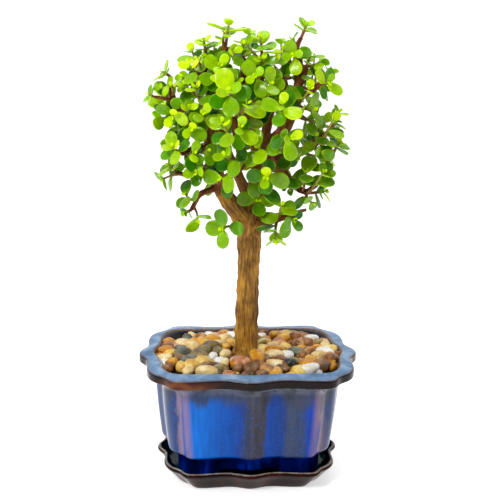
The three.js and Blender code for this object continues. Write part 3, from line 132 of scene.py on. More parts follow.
# Each shoot: its limb, the share along it, its tip, pairs of leaves, leaf length, turn in degrees and sag.
SHOOTS = {
    "top_left_sprig": ["top_left", 1, [-16, -6, 132], 3, 12.5, 90, 0],
    "top_left_bud": ["top_left", 0.96, [-19, -12, 127], 2, 6.5, 40, 0],
    "top_right_sprig": ["right_limb", 1, [35, -2, 132], 3, 9.5, 35, 0],
    "top_right_bud": ["right_limb", 0.97, [25, 2, 123], 2, 5.5, 20, 0.3],
    "tip_sprig": ["tip_branch", 1, [4, -14, 124], 3, 10.5, 0, 0.3],
    "leader_sprig": ["leader", 1, [-7, -4, 119], 3, 10.5, 60, 0.3],
    "limb_tip_sprig": ["left_limb", 1, [-32, 0, 121], 3, 9, 30, 0],
    "limb_side_sprig": ["left_limb", 0.97, [-40, -4, 115], 3, 11, 70, 0.3],
    "limb_front_sprig": ["left_limb", 0.9, [-41, -16, 106], 3, 12, 10, 0.3],
    "inner_sprig": ["inner_branch", 1, [20, -4, 116], 3, 10.5, 45, 0.3],
    "right_front_sprig": ["right_limb", 0.86, [25, -16, 113], 3, 11, 20, 0.3],
    "stub_sprig": ["cut_stub", 1, [38, -4, 113], 2, 8.5, 85, 0.15],
    "arm_sprig": ["right_arm", 1, [49, -14, 96], 3, 11, 50, 0.15],
    "arm_side_sprig": ["right_arm", 0.7, [41, -12, 104], 2, 8.5, 10, 0.3],
    "right_low_sprig": ["right_limb", 0.5, [40, -10, 78], 2, 11.5, 5, 0.3],
    "right_lower_sprig": ["right_limb", 0.42, [42, -8, 70], 2, 11, 70, 0.15],
    "outer_tip": ["outer_right", 1, [57, -4, 70], 3, 8.5, 30, 0],
    "red_tip": ["red_twig", 1, [59, -2, 54], 3, 10, 75, 0],
    "mid_top": ["mid_right", 0.86, [35, -16, 37], 2, 12.5, 0, 0.3],
    "red_side": ["red_twig", 0.45, [47, -12, 38], 2, 9, 55, 0.3],
    "mid_end": ["mid_right", 1, [49, -10, 23], 3, 12, 60, -0.05],
    "mid_hanging": ["mid_right", 0.97, [40, -14, 16], 2, 11, 20, -0.1],
    "mid_inner": ["mid_right", 0.72, [27, -4, 23], 2, 6.5, 20, 0],
    "low_top": ["low_right", 0.92, [19, -22, 16], 2, 12.5, 25, 0.3],
    "low_end": ["low_right", 1, [27, -20, 6], 2, 12.5, 70, 0],
    "low_hanging": ["low_right", 0.8, [16, -20, -8], 3, 12, 10, -0.2],
    "outer_upper": ["outer_right", 0.7, [42, -14, 61], 2, 9.5, 40, 0.3],
    "outer_lower": ["outer_right", 0.62, [46, -10, 50], 2, 9.5, 80, 0],
    "outer_inner": ["outer_right", 0.45, [31, -12, 45], 2, 8, 30, 0],
    "outer_front": ["outer_right", 0.38, [23, -14, 54], 2, 12, 60, 0.3],
    "front_right_tip": ["front_right", 1, [16, -44, 85], 3, 12.5, 75, 0.3],
    "front_right_side": ["front_right", 0.75, [22, -44, 64], 3, 12.5, 15, 0.3],
    "front_right_mid": ["front_right", 0.45, [2, -40, 57], 2, 12, 30, 0.3],
    "front_right_low": ["front_right", 0.25, [8, -30, 36], 3, 13, 80, 0.15],
    "leader_front_sprig": ["leader", 0.22, [4, -16, 18], 2, 11.5, 0, 0.15],
    "front_tip": ["front_limb", 1, [-17, -42, 92], 3, 14.5, 20, 0.3],
    "front_upper": ["front_limb", 0.8, [-6, -42, 85], 3, 13, 60, 0.3],
    "front_mid_right": ["front_limb", 0.66, [-10, -46, 71], 3, 12.5, 70, 0.3],
    "front_mid_left": ["front_limb", 0.55, [-21, -46, 74], 3, 12.5, 15, 0.3],
    "front_low": ["front_limb", 0.38, [-19, -40, 52], 3, 12.5, 35, 0.3],
    "front_lowest": ["front_limb", 0.22, [-21, -32, 36], 2, 13, 80, 0.3],
    "fork_sprig": ["left_limb", 0.05, [-20, -30, 2], 2, 12.5, 2, 0],
    "limb_upper_sprig": ["left_limb", 0.62, [-33, -30, 77], 3, 13, 50, 0.3],
    "limb_lower_sprig": ["left_limb", 0.45, [-37, -28, 39], 3, 13, 10, 0.3],
    "tip_front": ["tip_branch", 0.75, [0, -30, 101], 3, 11.5, 45, 0.3],
    "tip_right": ["tip_branch", 0.45, [10, -28, 96], 2, 11, 10, 0.3],
    "top_left_front": ["top_left", 0.55, [-22, -26, 107], 3, 11.5, 60, 0.3],
    "top_left_right": ["top_left", 0.8, [-13, -18, 115], 3, 9.5, 20, 0.3],
    "arm_tip": ["left_arm", 1, [-59, -4, 101], 3, 8.5, 15, 0],
    "arm_upper": ["left_arm", 0.8, [-59, -10, 92], 2, 8, 80, 0],
    "twig_tip": ["left_twig", 1, [-68, -10, 87], 3, 7, 45, 0],
    "arm_middle": ["left_arm", 0.62, [-53, -22, 74], 3, 11, 65, 0],
    "arm_inner": ["left_arm", 0.5, [-42, -24, 80], 3, 10.5, 10, 0.3],
    "arm_low": ["left_arm", 0.35, [-41, -26, 67], 3, 12, 60, 0.15],
    "mid_left_tip": ["mid_left", 0.95, [-52, -26, 55], 3, 11, 30, 0.15],
    "mid_left_front": ["mid_left", 0.75, [-39, -30, 52], 3, 11.5, 75, 0.3],
    "mid_left_inner": ["mid_left", 0.4, [-30, -28, 53], 2, 9.5, 10, 0.3],
    "side_left_tip": ["side_left", 1, [-55, -20, 42], 2, 9.5, 20, 0],
    "side_left_low": ["side_left", 0.85, [-59, -22, 33], 2, 9, 70, -0.2],
    "low_left_upper": ["low_left", 0.72, [-44, -22, 23], 2, 10.5, 40, 0.3],
    "low_left_tip": ["low_left", 1, [-44, -20, 10], 3, 7.5, 0, -0.1],
    "low_left_leaf": ["low_left", 0.97, [-36, -24, 7], 1, 12, 60, -0.1],
    "limb_left_sprig": ["left_limb", 0.75, [-44, -16, 94], 3, 12, 35, 0.3],
    "back_left_tip": ["back_left", 1, [-24, 34, 116], 3, 11, 20, 0.15],
    "back_left_upper": ["back_left", 0.85, [-40, 36, 92], 3, 12, 60, 0.15],
    "back_left_mid": ["back_left", 0.7, [-30, 52, 86], 3, 12.5, 10, 0.3],
    "back_left_side": ["back_left", 0.58, [-44, 42, 62], 3, 12, 40, 0.3],
    "back_left_low": ["back_left", 0.45, [-24, 56, 50], 3, 12.5, 75, 0.3],
    "back_left_lowest": ["back_left", 0.3, [-30, 40, 24], 3, 12, 15, 0.3],
    "back_right_tip": ["back_right", 1, [22, 38, 118], 3, 11, 70, 0.15],
    "back_right_upper": ["back_right", 0.85, [44, 36, 86], 3, 12, 25, 0.15],
    "back_right_mid": ["back_right", 0.7, [30, 54, 80], 3, 12.5, 50, 0.3],
    "back_right_side": ["back_right", 0.55, [50, 36, 56], 3, 12, 5, 0.3],
    "back_right_low": ["back_right", 0.42, [28, 52, 46], 3, 12.5, 35, 0.3],
    "back_right_lowest": ["back_right", 0.28, [38, 36, 26], 3, 12, 80, 0.3],
    "back_mid_tip": ["back_mid", 1, [0, 38, 124], 3, 11, 45, 0.15],
    "back_mid_upper": ["back_mid", 0.82, [-2, 54, 102], 3, 12, 10, 0.3],
    "back_mid_centre": ["back_mid", 0.6, [2, 58, 74], 3, 12.5, 60, 0.3],
    "back_mid_low": ["back_mid", 0.42, [4, 50, 36], 3, 12, 30, 0.3],
    "limb_back_sprig": ["left_limb", 0.6, [-52, 14, 70], 3, 12, 30, 0.3],
    "right_back_sprig": ["right_limb", 0.45, [56, 14, 68], 3, 12, 60, 0.3],
    "leader_back_sprig": ["leader", 0.8, [8, 20, 104], 3, 11, 20, 0.3],
    "limb_back_low_sprig": ["left_limb", 0.42, [-50, 12, 40], 3, 12, 70, 0.3],
    "top_left_low": ["top_left", 0.3, [-37, -12, 109], 3, 11.5, 40, 0.3],
    "top_left_side": ["top_left", 0.5, [-30, 4, 113], 3, 10.5, 10, 0.2],
    "top_left_inner": ["top_left", 0.42, [-24, -24, 102], 3, 12.5, 70, 0.3],
    "limb_high_sprig": ["left_limb", 0.83, [-46, -12, 98], 3, 12, 20, 0.25],
    "limb_mass_sprig": ["left_limb", 0.7, [-38, -24, 93], 3, 12.5, 75, 0.3],
    "leader_mass_sprig": ["leader", 0.72, [-13, -24, 97], 3, 12.5, 40, 0.3],
    "leader_mid_sprig": ["leader", 0.6, [-2, -18, 82], 3, 12.5, 15, 0.35],
    "tip_high": ["tip_branch", 0.9, [-5, -14, 120], 2, 12, 0, 0.1],
    "tip_side": ["tip_branch", 0.8, [4, -18, 111], 3, 10, 60, 0.2],
    "inner_front": ["inner_branch", 0.8, [12, -14, 109], 3, 11, 20, 0.25],
    "inner_low": ["inner_branch", 0.5, [9, -16, 88], 3, 12, 60, 0.3],
    "arm_high": ["left_arm", 0.68, [-53, -16, 93], 3, 11, 30, 0.3],
    "top_left_back": ["top_left", 0.6, [-26, 16, 110], 3, 11, 30, 0.2],
    "arm_back": ["left_arm", 0.75, [-60, 12, 84], 3, 11, 60, 0.2],
    "outer_back": ["outer_right", 0.6, [52, 14, 52], 3, 11.5, 20, 0.2],
    "outer_back_high": ["outer_right", 0.85, [60, 9, 74], 3, 10, 60, 0.1],
    "inner_back": ["inner_branch", 0.7, [36, 20, 100], 3, 11.5, 10, 0.2],
    "inner_back_low": ["inner_branch", 0.45, [28, 26, 78], 3, 12, 50, 0.2],
    "back_mid_inner": ["back_mid", 0.8, [-6, 16, 110], 3, 11.5, 30, 0.2],
    "back_left_inner": ["back_left", 0.8, [-34, 18, 102], 3, 12, 70, 0.2],
    "back_right_inner": ["back_right", 0.72, [42, 20, 90], 3, 12, 0, 0.2],
    "back_left_far": ["back_left", 0.5, [-54, 24, 76], 3, 12, 20, 0.2],
    "back_right_far": ["back_right", 0.48, [56, 20, 42], 3, 12, 60, 0.2],
    "back_mid_right": ["back_mid", 0.7, [18, 50, 94], 3, 12, 45, 0.2],
    "back_mid_left": ["back_mid", 0.55, [-14, 52, 66], 3, 12, 15, 0.2],
    "right_side_sprig": ["right_limb", 0.6, [50, 2, 94], 3, 11.5, 40, 0.3],
    "right_high_sprig": ["right_limb", 0.74, [46, 6, 108], 3, 11, 10, 0.25],
    "right_mass_sprig": ["right_limb", 0.55, [36, -20, 92], 3, 12, 60, 0.3],
    "limb_outer_sprig": ["left_limb", 0.68, [-48, 2, 92], 3, 11.5, 30, 0.3],
    "leader_top_sprig": ["leader", 0.85, [-8, 8, 112], 3, 11, 60, 0.2],
    "outer_mass": ["outer_right", 0.8, [52, -18, 72], 3, 11, 30, 0.3],
    "mid_mass": ["mid_right", 0.95, [46, -22, 38], 3, 12, 60, 0.3],
    "outer_side": ["outer_right", 0.5, [48, 4, 66], 3, 11.5, 10, 0.3],
    "arm_side": ["left_arm", 0.6, [-60, 2, 70], 3, 11, 60, 0.3],
    "arm_back_high": ["right_arm", 0.6, [52, 4, 102], 3, 10.5, 20, 0.2],
    "mid_left_back": ["mid_left", 0.55, [-50, -2, 58], 2, 11, 50, 0.3],
}

# Each large pebble: shares of the opening's half width and depth, half sizes, and turn in degrees.
LARGE_PEBBLES = {
    "pebble_pink": [-0.115, -0.526, [10.5, 5.4, 4.6], -55],
    "pebble_amber": [0.076, -0.39, [8.5, 5.8, 4.6], 80],
    "pebble_cream": [-0.458, -0.78, [8.5, 5.2, 4.2], -12],
    "pebble_white": [0.58, -0.741, [7.6, 5.4, 4.6], -10],
    "pebble_black": [0.412, -0.565, [5.2, 4.6, 4.2], 30],
    "pebble_honey": [0.26, -0.078, [6.4, 4.8, 4], 15],
    "pebble_tan": [0.611, 0.234, [8.4, 5.4, 4.4], -8],
    "pebble_grey": [-0.702, -0.097, [7, 5, 4], 10],
}

LIMB_NODES = {
    "branch_low_right": ["low_right", "dead_stub"],
    "branch_right": ["mid_right", "knob", "red_twig", "outer_right"],
    "branch_upper_right": ["right_arm"],
    "branch_inner": ["inner_branch"],
    "branch_top_centre": ["tip_branch"],
    "branch_top_left": ["top_left"],
    "branch_upper_left": ["left_arm", "left_twig"],
    "branch_middle_left": ["mid_left"],
    "branch_side_left": ["side_left"],
    "branch_low_left": ["low_left"],
    "branch_front_left": ["front_limb"],
    "branch_front_right": ["front_right"],
    "branch_back_left": ["back_left"],
    "branch_back_right": ["back_right"],
    "branch_back_middle": ["back_mid"],
}


def chance(n):
    """Repeatable irregularity in 0 to 1."""
    s = math.sin(n * 12.9898 + 4.1414) * 43758.5453
    return s - math.floor(s)


def vec(*values):
    return np.array(values, dtype=float)


def unit(v):
    return v / np.linalg.norm(v)


def turned(v, axis, angle):
    """The vector v turned about a unit axis."""
    c, s = math.cos(angle), math.sin(angle)
    return v * c + np.cross(axis, v) * s + axis * np.dot(axis, v) * (1 - c)


# ---------------------------------------------------------------- meshes

def new_mesh(name, points, faces, materials, attributes=None, face_material=None):
    """A mesh object from points in millimetres, smooth shaded."""
    mesh = bpy.data.meshes.new(name)
    mesh.from_pydata((np.asarray(points, dtype=float) * MM).tolist(), [], faces)
    for material in materials:
        mesh.materials.append(material)
    for key, values in (attributes or {}).items():
        values = np.asarray(values, dtype=np.float32)
        if values.ndim == 1:
            layer = mesh.attributes.new(key, "FLOAT", "POINT")
            layer.data.foreach_set("value", values)
        else:
            layer = mesh.attributes.new(key, "FLOAT_VECTOR", "POINT")
            layer.data.foreach_set("vector", values.ravel())
    mesh.polygons.foreach_set("use_smooth", np.ones(len(mesh.polygons), dtype=bool))
    if face_material is not None:
        mesh.polygons.foreach_set("material_index", np.asarray(face_material, dtype=np.int32))
    mesh.validate()
    obj = bpy.data.objects.new(name, mesh)
    bpy.context.scene.collection.objects.link(obj)
    return obj


def apply_modifiers(obj):
    """Replaces the mesh with what its modifiers make of it."""
    depsgraph = bpy.context.evaluated_depsgraph_get()
    made = bpy.data.meshes.new_from_object(obj.evaluated_get(depsgraph), depsgraph=depsgraph)
    obj.modifiers.clear()
    obj.data = made
    return obj


def vertex_array(mesh, field):
    values = np.empty(len(mesh.vertices) * 3, dtype=np.float32)
    mesh.vertices.foreach_get(field, values)
    return values.reshape(-1, 3).astype(float)


def loft_faces(rings, count):
    """Quads over a stack of rings, with a fan to a last centre point at each end."""
    faces = []
    for level in range(rings - 1):
        for i in range(count):
            a, b = level * count + i, level * count + (i + 1) % count
            faces.append((a, b, b + count, a + count))
    foot, top, last = rings * count, rings * count + 1, (rings - 1) * count
    for i in range(count):
        j = (i + 1) % count
        faces.append((foot, j, i))
        faces.append((top, last + i, last + j))
    return faces


def loft_points(rings):
    return np.vstack([rings.reshape(-1, rings.shape[-1]), rings[0].mean(axis=0), rings[-1].mean(axis=0)])


def rounded(rows, passes):
    """Cuts the corners of a profile, keeping its first and last row."""
    rows = np.asarray(rows, dtype=float)
    for _ in range(passes):
        early = 0.75 * rows[:-1] + 0.25 * rows[1:]
        late = 0.25 * rows[:-1] + 0.75 * rows[1:]
        middle = np.stack([early, late], axis=1).reshape(-1, rows.shape[1])
        rows = np.vstack([rows[:1], middle[1:-1], rows[-1:]])
    return rows


# ---------------------------------------------------------------- lobed outlines

LOBED = [
    [2, (1.0, 0.14), (0.915, 0.14), (0.914, 0.315)],
    [3, (0.94, 0.52), (0.908, 0.725), (0.757, 0.795)],
    [1, (0.737, 0.9), (0.71, 0.95), (0.658, 0.95)],
    [2, (0.5, 0.96), (0.39, 0.912), (0.27, 0.912)],
    [2, (0.15, 0.912), (0.085, 1.0), (0, 1.0)],
]
SOFT = [
    [2, (1.0, 0.12), (0.935, 0.2), (0.925, 0.43)],
    [4, (0.915, 0.72), (0.86, 0.935), (0.69, 0.94)],
    [2, (0.55, 0.945), (0.42, 0.94), (0.3, 0.94)],
    [2, (0.17, 0.94), (0.08, 1.0), (0, 1.0)],
]
OUTLINE_STEPS = 7


def outline(quarter):
    """The whole closed outline for half sizes of 1, from the ear on +X."""
    points, start = [], vec(1, 0)
    for count, a, b, end in quarter:
        a, b, end = vec(*a), vec(*b), vec(*end)
        for t in np.arange(count * OUTLINE_STEPS) / (count * OUTLINE_STEPS):
            k = 1 - t
            points.append(k**3 * start + 3 * k * k * t * a + 3 * k * t * t * b + t**3 * end)
        start = end
    first = np.array(points)
    half = np.vstack([first, [[0, 1]], first[:0:-1] * [-1, 1]])
    return np.vstack([half, -half])


def softened(ring, passes):
    for _ in range(passes):
        ring = 0.5 * ring + 0.25 * (np.roll(ring, 1, axis=0) + np.roll(ring, -1, axis=0))
    return ring


LOBED_RING = softened(outline(LOBED), 6)
SOFT_RING = softened(outline(SOFT), 6)


def ridges(ring):
    """How sharply the outline turns at each point: above 0 on a ridge, below 0 in a notch."""
    before, after = ring - np.roll(ring, 3, axis=0), np.roll(ring, -3, axis=0) - ring
    turn = before[:, 0] * after[:, 1] - before[:, 1] * after[:, 0]
    return turn / (np.linalg.norm(before, axis=1) * np.linalg.norm(after, axis=1))


# The marks: band, the rim's dark band; top, the slate rim top; line, tan glaze at the edges, which also
# paints the highlight along the pot band's top edge and the saucer's lip; inside, the inner walls, where the
# saucer gets its painted teal reflection.
MARKS = ("band", "top", "line", "inside")


def row(z, lobed=None, soft=None, **marks):
    """A row of a lobed profile: half sizes of its lobed and soft outlines, height, and its marks."""
    lobed, soft = lobed or (0, 0), soft or (0, 0)
    return [*lobed, *soft, z, *(marks.get(key, 0) for key in MARKS)]


def lobed_loft(rows):
    """Ring points (x, y, z) and the marks of each, for rounded rows."""
    rings, marks = [], []
    for lw, ld, sw, sd, z, *rest in rows:
        xy = LOBED_RING * [lw, ld] + SOFT_RING * [sw, sd]
        rings.append(np.column_stack([xy, np.full(len(xy), z)]))
        marks.append(np.tile(rest, (len(xy), 1)))
    return np.array(rings), np.array(marks)


def inset(amount, z, **marks):
    return row(z, lobed=(HALF_WIDTH - amount, HALF_DEPTH - amount), **marks)


INSIDE = [
    (RIM_OVERHANG + WALL, GRIT_TOP),
    (RIM_OVERHANG + BODY_TAPER + WALL, FLOOR_TOP + 3),
    (RIM_OVERHANG + BODY_TAPER + WALL + 3, FLOOR_TOP),
]


def inside_row(z, clearance=0.0, share=1.0, **marks):
    """A row of the pot's inside at height z, drawn in by a clearance and to a share of its size."""
    (top, top_z), (_, middle_z), _ = INSIDE
    if z <= top_z:
        upper, lower = INSIDE[:2] if z > middle_z else INSIDE[1:]
        amount = lower[0] + (upper[0] - lower[0]) * (z - lower[1]) / (upper[1] - lower[1]) + clearance
        return row(z, lobed=((HALF_WIDTH - amount) * share, (HALF_DEPTH - amount) * share), **marks)
    rise = min((z - top_z) / (RIM_TOP - 1.2 - top_z), 1)
    lobed = [(half - top - clearance) * share * (1 - rise) for half in (HALF_WIDTH, HALF_DEPTH)]
    soft = [(half - clearance) * share * rise for half in (INNER_WIDTH, INNER_DEPTH)]
    return row(z, lobed=lobed, soft=soft, **marks)


# ---------------------------------------------------------------- materials

class Look:
    """A procedural material: a Principled shader and the nodes that feed it."""

    def __init__(self, name, **levels):
        self.material = bpy.data.materials.new(name)
        self.material.use_nodes = True
        self.tree = self.material.node_tree
        self.tree.nodes.clear()
        self.out = self.tree.nodes.new("ShaderNodeOutputMaterial")
        self.shader = self.tree.nodes.new("ShaderNodeBsdfPrincipled")
        self.tree.links.new(self.shader.outputs[0], self.out.inputs[0])
        for key, value in levels.items():
            self.shader.inputs[key.replace("_", " ")].default_value = value

    def put(self, socket, value):
        if isinstance(value, bpy.types.NodeSocket):
            self.tree.links.new(value, socket)
        elif isinstance(value, (tuple, list)) and len(value) == 3 and socket.type == "RGBA":
            socket.default_value = (*value, 1)
        else:
            socket.default_value = value

    def node(self, kind, *inputs, **settings):
        made = self.tree.nodes.new("ShaderNode" + kind)
        for key, value in settings.items():
            setattr(made, key, value)
        for key, value in inputs:
            self.put(made.inputs[key], value)
        return made

    def feed(self, key, value):
        self.put(self.shader.inputs[key], value)

    def attribute(self, name, output="Fac"):
        return self.node("Attribute", attribute_name=name).outputs[output]

    def place(self):
        return self.node("TexCoord").outputs["Object"]

    def scaled(self, vector, size):
        return self.node("VectorMath", (0, vector), (1, size), operation="MULTIPLY").outputs[0]

    def noise(self, vector, scale, detail=3.0, rough=0.55, bend=0.0):
        made = self.node("TexNoise", ("Vector", vector), ("Scale", scale), ("Detail", detail),
                         ("Roughness", rough), ("Distortion", bend))
        return made.outputs["Fac"]

    def cells(self, vector, scale):
        return self.node("TexVoronoi", ("Vector", vector), ("Scale", scale)).outputs["Distance"]

    def ramp(self, factor, *stops):
        made = self.node("ValToRGB", (0, factor))
        elements = made.color_ramp.elements
        while len(elements) < len(stops):
            elements.new(0.5)
        for element, (position, colour) in zip(elements, stops):
            element.position = position
            element.color = (*colour, 1) if isinstance(colour, tuple) else (colour, colour, colour, 1)
        return made.outputs[0]

    def mix(self, factor, a, b, blend="MIX"):
        made = self.node("Mix", data_type="RGBA", blend_type=blend)
        for index, value in ((0, factor), (6, a), (7, b)):
            self.put(made.inputs[index], value)
        return made.outputs[2]

    def math(self, operation, a, b):
        return self.node("Math", (0, a), (1, b), operation=operation).outputs[0]

    def spread(self, value, low, high, start=0.0, end=1.0):
        made = self.node("MapRange", (0, value), (1, low), (2, high), (3, start), (4, end))
        return made.outputs[0]

    def bump(self, height, strength, distance=0.001):
        made = self.node("Bump", ("Height", height), ("Strength", strength), ("Distance", distance))
        self.put(self.shader.inputs["Normal"], made.outputs[0])
        return made


def srgb(r, g, b):
    """A colour as it looks on a screen, 0 to 255, as the shader's linear colour."""
    return tuple((c / 255 / 12.92) if c <= 10 else ((c / 255 + 0.055) / 1.055) ** 2.4 for c in (r, g, b))


def glaze_look():
    """Rutile-blue glaze: grey where it is thin, in drips below the rim, darker at the foot from pooled glaze
    and painted shade, with painted highlights on the ridges and painted light brightening the left front.
    """
    look = Look("blue_glaze", Roughness=0.07, Specular_IOR_Level=0.16)
    place = look.place()
    parts = look.node("SeparateXYZ", (0, place))
    across, height = parts.outputs[0], parts.outputs[2]
    streaks = look.noise(look.scaled(place, (1, 1, 0.09)), 330, 4, 0.6)
    waver = look.noise(look.scaled(place, (1, 1, 0.22)), 90, 4, 0.6, 0.4)
    mottle = look.noise(place, 520, 5, 0.65)
    run = look.math("ADD", across, look.spread(waver, 0.2, 0.8, -0.0045, 0.0045))
    # Colours across the front by x: the glaze's own variation, with painted light in the brighter left front
    # and pale painted highlight lines at the corner ridges near x = ±48 mm.
    glaze_and_light_panels = [(-56, (50, 68, 108)), (-51, (34, 58, 112)), (-48.5, (124, 100, 120)), (-45.5, (4, 62, 156)),
              (-36, (0, 106, 206)), (-25, (0, 86, 180)), (-7, (0, 56, 140)), (-2, (48, 54, 74)),
              (6, (58, 54, 62)), (10, (4, 64, 156)), (19, (18, 54, 126)), (24, (58, 68, 92)),
              (34, (46, 62, 100)), (39, (2, 60, 168)),
              (45, (12, 42, 134)), (47.5, (112, 92, 110)), (52, (40, 60, 104)), (56, (58, 74, 108))]
    wide = 60
    stops = [(0.5 + x / wide / 2, srgb(*colour)) for x, colour in glaze_and_light_panels]
    body = look.ramp(look.spread(run, -wide * MM, wide * MM), *stops)
    grain = look.ramp(streaks, (0.3, 0.72), (0.5, 1.0), (0.7, 1.16))
    body = look.mix(0.8, body, look.mix(1.0, body, grain, "MULTIPLY"))
    body = look.mix(look.ramp(mottle, (0.52, 0.0), (0.75, 0.35)), body, srgb(8, 104, 206))
    drips = look.noise(look.scaled(place, (1, 1, 0.0)), 78, 3, 0.5)
    edge = look.math("SUBTRACT", height, look.spread(drips, 0.36, 0.62, 0.0705, 0.0575))
    thin = look.spread(look.math("ADD", edge, look.spread(mottle, 0.3, 0.7, -0.002, 0.002)), -0.003, 0.004)
    body = look.mix(look.math("MULTIPLY", thin, 0.85), body,
                    look.ramp(waver, (0.3, srgb(40, 40, 48)), (0.55, srgb(62, 68, 84)),
                              (0.7, srgb(50, 56, 74))))
    # Pink-grey over the corner ridges: the glaze breaking there, and painted highlight lines along them.
    ridge = look.spread(look.attribute("ridge"), 0.3, 0.6)
    ridge_break_and_highlight = look.math("MULTIPLY", ridge, look.ramp(waver, (0.3, 0.2), (0.6, 0.7)))
    body = look.mix(ridge_break_and_highlight, body, srgb(140, 116, 132))
    cove = look.spread(height, 0.0685, 0.0755)
    body = look.mix(look.math("MULTIPLY", cove, 0.9), body,
                    look.ramp(waver, (0.35, srgb(60, 58, 60)), (0.5, srgb(90, 94, 100)),
                              (0.65, srgb(116, 122, 132))))
    # Darker navy at the foot: partly pooled glaze, partly painted shade under the body and down in the
    # saucer.
    foot = look.spread(height, 0.0243, 0.0212)
    body = look.mix(foot, body, look.ramp(waver, (0.35, srgb(0, 6, 36)), (0.52, srgb(0, 18, 96)),
                                          (0.7, srgb(4, 52, 176))))
    dark = look.ramp(look.noise(look.scaled(place, (1, 1, 1.4)), 34, 2, 0.4), (0.34, srgb(6, 3, 5)),
                     (0.5, srgb(24, 9, 6)), (0.6, srgb(66, 26, 10)), (0.67, srgb(110, 60, 24)),
                     (0.75, srgb(44, 16, 18)))
    colour = look.mix(look.attribute("band"), body, dark)
    slate = look.ramp(look.noise(place, 70, 4, 0.6, 0.5), (0.3, srgb(72, 106, 148)),
                      (0.5, srgb(104, 142, 184)), (0.7, srgb(156, 180, 208)))
    colour = look.mix(look.attribute("top"), colour, slate)
    # Tan at the rim's edges: the glaze breaking there; along the band's top edge it also paints the
    # highlight.
    tan = look.ramp(mottle, (0.3, srgb(96, 58, 34)), (0.7, srgb(178, 146, 112)))
    colour = look.mix(look.spread(look.attribute("line"), 0.35, 1.0, 0.0, 0.85), colour, tan)
    colour = look.mix(look.attribute("inside"), colour, srgb(30, 26, 30))
    look.feed("Base Color", colour)
    look.bump(look.math("ADD", look.math("MULTIPLY", streaks, 0.4), look.noise(place, 60, 2)), 0.08, 0.0012)
    return look.material


def saucer_look():
    """The same glaze fired dark: black-maroon wall, a thin tan lip that also paints its highlight, and teal
    painted reflection inside.
    """
    look = Look("saucer_glaze", Roughness=0.09, Specular_IOR_Level=0.1)
    place = look.place()
    broad = look.noise(look.scaled(place, (1, 1, 0.4)), 70, 4, 0.6, 0.8)
    mottle = look.noise(place, 380, 5, 0.65)
    wall = look.ramp(broad, (0.3, srgb(6, 0, 0)), (0.5, srgb(26, 3, 2)), (0.65, srgb(58, 12, 4)),
                     (0.8, srgb(26, 10, 10)))
    # Painted reflection: teal glints painted into the dark glaze inside the saucer.
    teal_painted_reflection = look.ramp(broad, (0.3, srgb(4, 18, 34)), (0.52, srgb(6, 44, 62)), (0.68, srgb(16, 96, 104)),
                     (0.85, srgb(34, 60, 40)))
    colour = look.mix(look.attribute("inside"), wall, teal_painted_reflection)
    # Pale tan lip: the glaze breaking at the edge, and a painted highlight along it.
    tan = look.ramp(mottle, (0.3, srgb(120, 100, 88)), (0.7, srgb(206, 196, 184)))
    colour = look.mix(look.spread(look.attribute("line"), 0.45, 1.0, 0.0, 0.9), colour, tan)
    look.feed("Base Color", colour)
    look.bump(look.noise(place, 60, 2), 0.08, 0.001)
    return look.material


def bark_look():
    """Fibrous brown bark that runs along each limb; young wood is smoother and redder."""
    look = Look("bark", Roughness=0.78, Specular_IOR_Level=0.3)
    grain = look.attribute("grain", "Vector")
    girth = look.attribute("girth")
    fibre = look.noise(grain, 700, 6, 0.65, 0.3)
    broad = look.noise(grain, 160, 3, 0.5)
    place = look.place()
    patch = look.noise(place, 60, 3, 0.55)
    old = look.ramp(fibre, (0.28, srgb(64, 38, 12)), (0.45, srgb(112, 74, 26)), (0.58, srgb(146, 102, 40)),
                    (0.75, srgb(186, 146, 80)))
    golden = look.ramp(fibre, (0.3, srgb(116, 72, 12)), (0.5, srgb(172, 120, 32)), (0.72, srgb(212, 168, 76)))
    old = look.mix(look.ramp(patch, (0.42, 0.0), (0.62, 1.0)), old, golden)
    young = look.ramp(fibre, (0.3, srgb(66, 28, 6)), (0.5, srgb(112, 56, 18)), (0.72, srgb(156, 94, 42)))
    colour = look.mix(look.spread(girth, 2.4, 5.0), young, old)
    crease = look.ramp(broad, (0.3, 1.0), (0.42, 0.0))
    colour = look.mix(look.math("MULTIPLY", crease, 0.55), colour, srgb(44, 28, 16))
    look.feed("Base Color", colour)
    look.feed("Roughness", look.spread(fibre, 0.2, 0.8, 0.9, 0.62))
    look.bump(look.math("ADD", fibre, look.math("MULTIPLY", broad, 0.8)), 0.55, 0.0008)
    return look.material


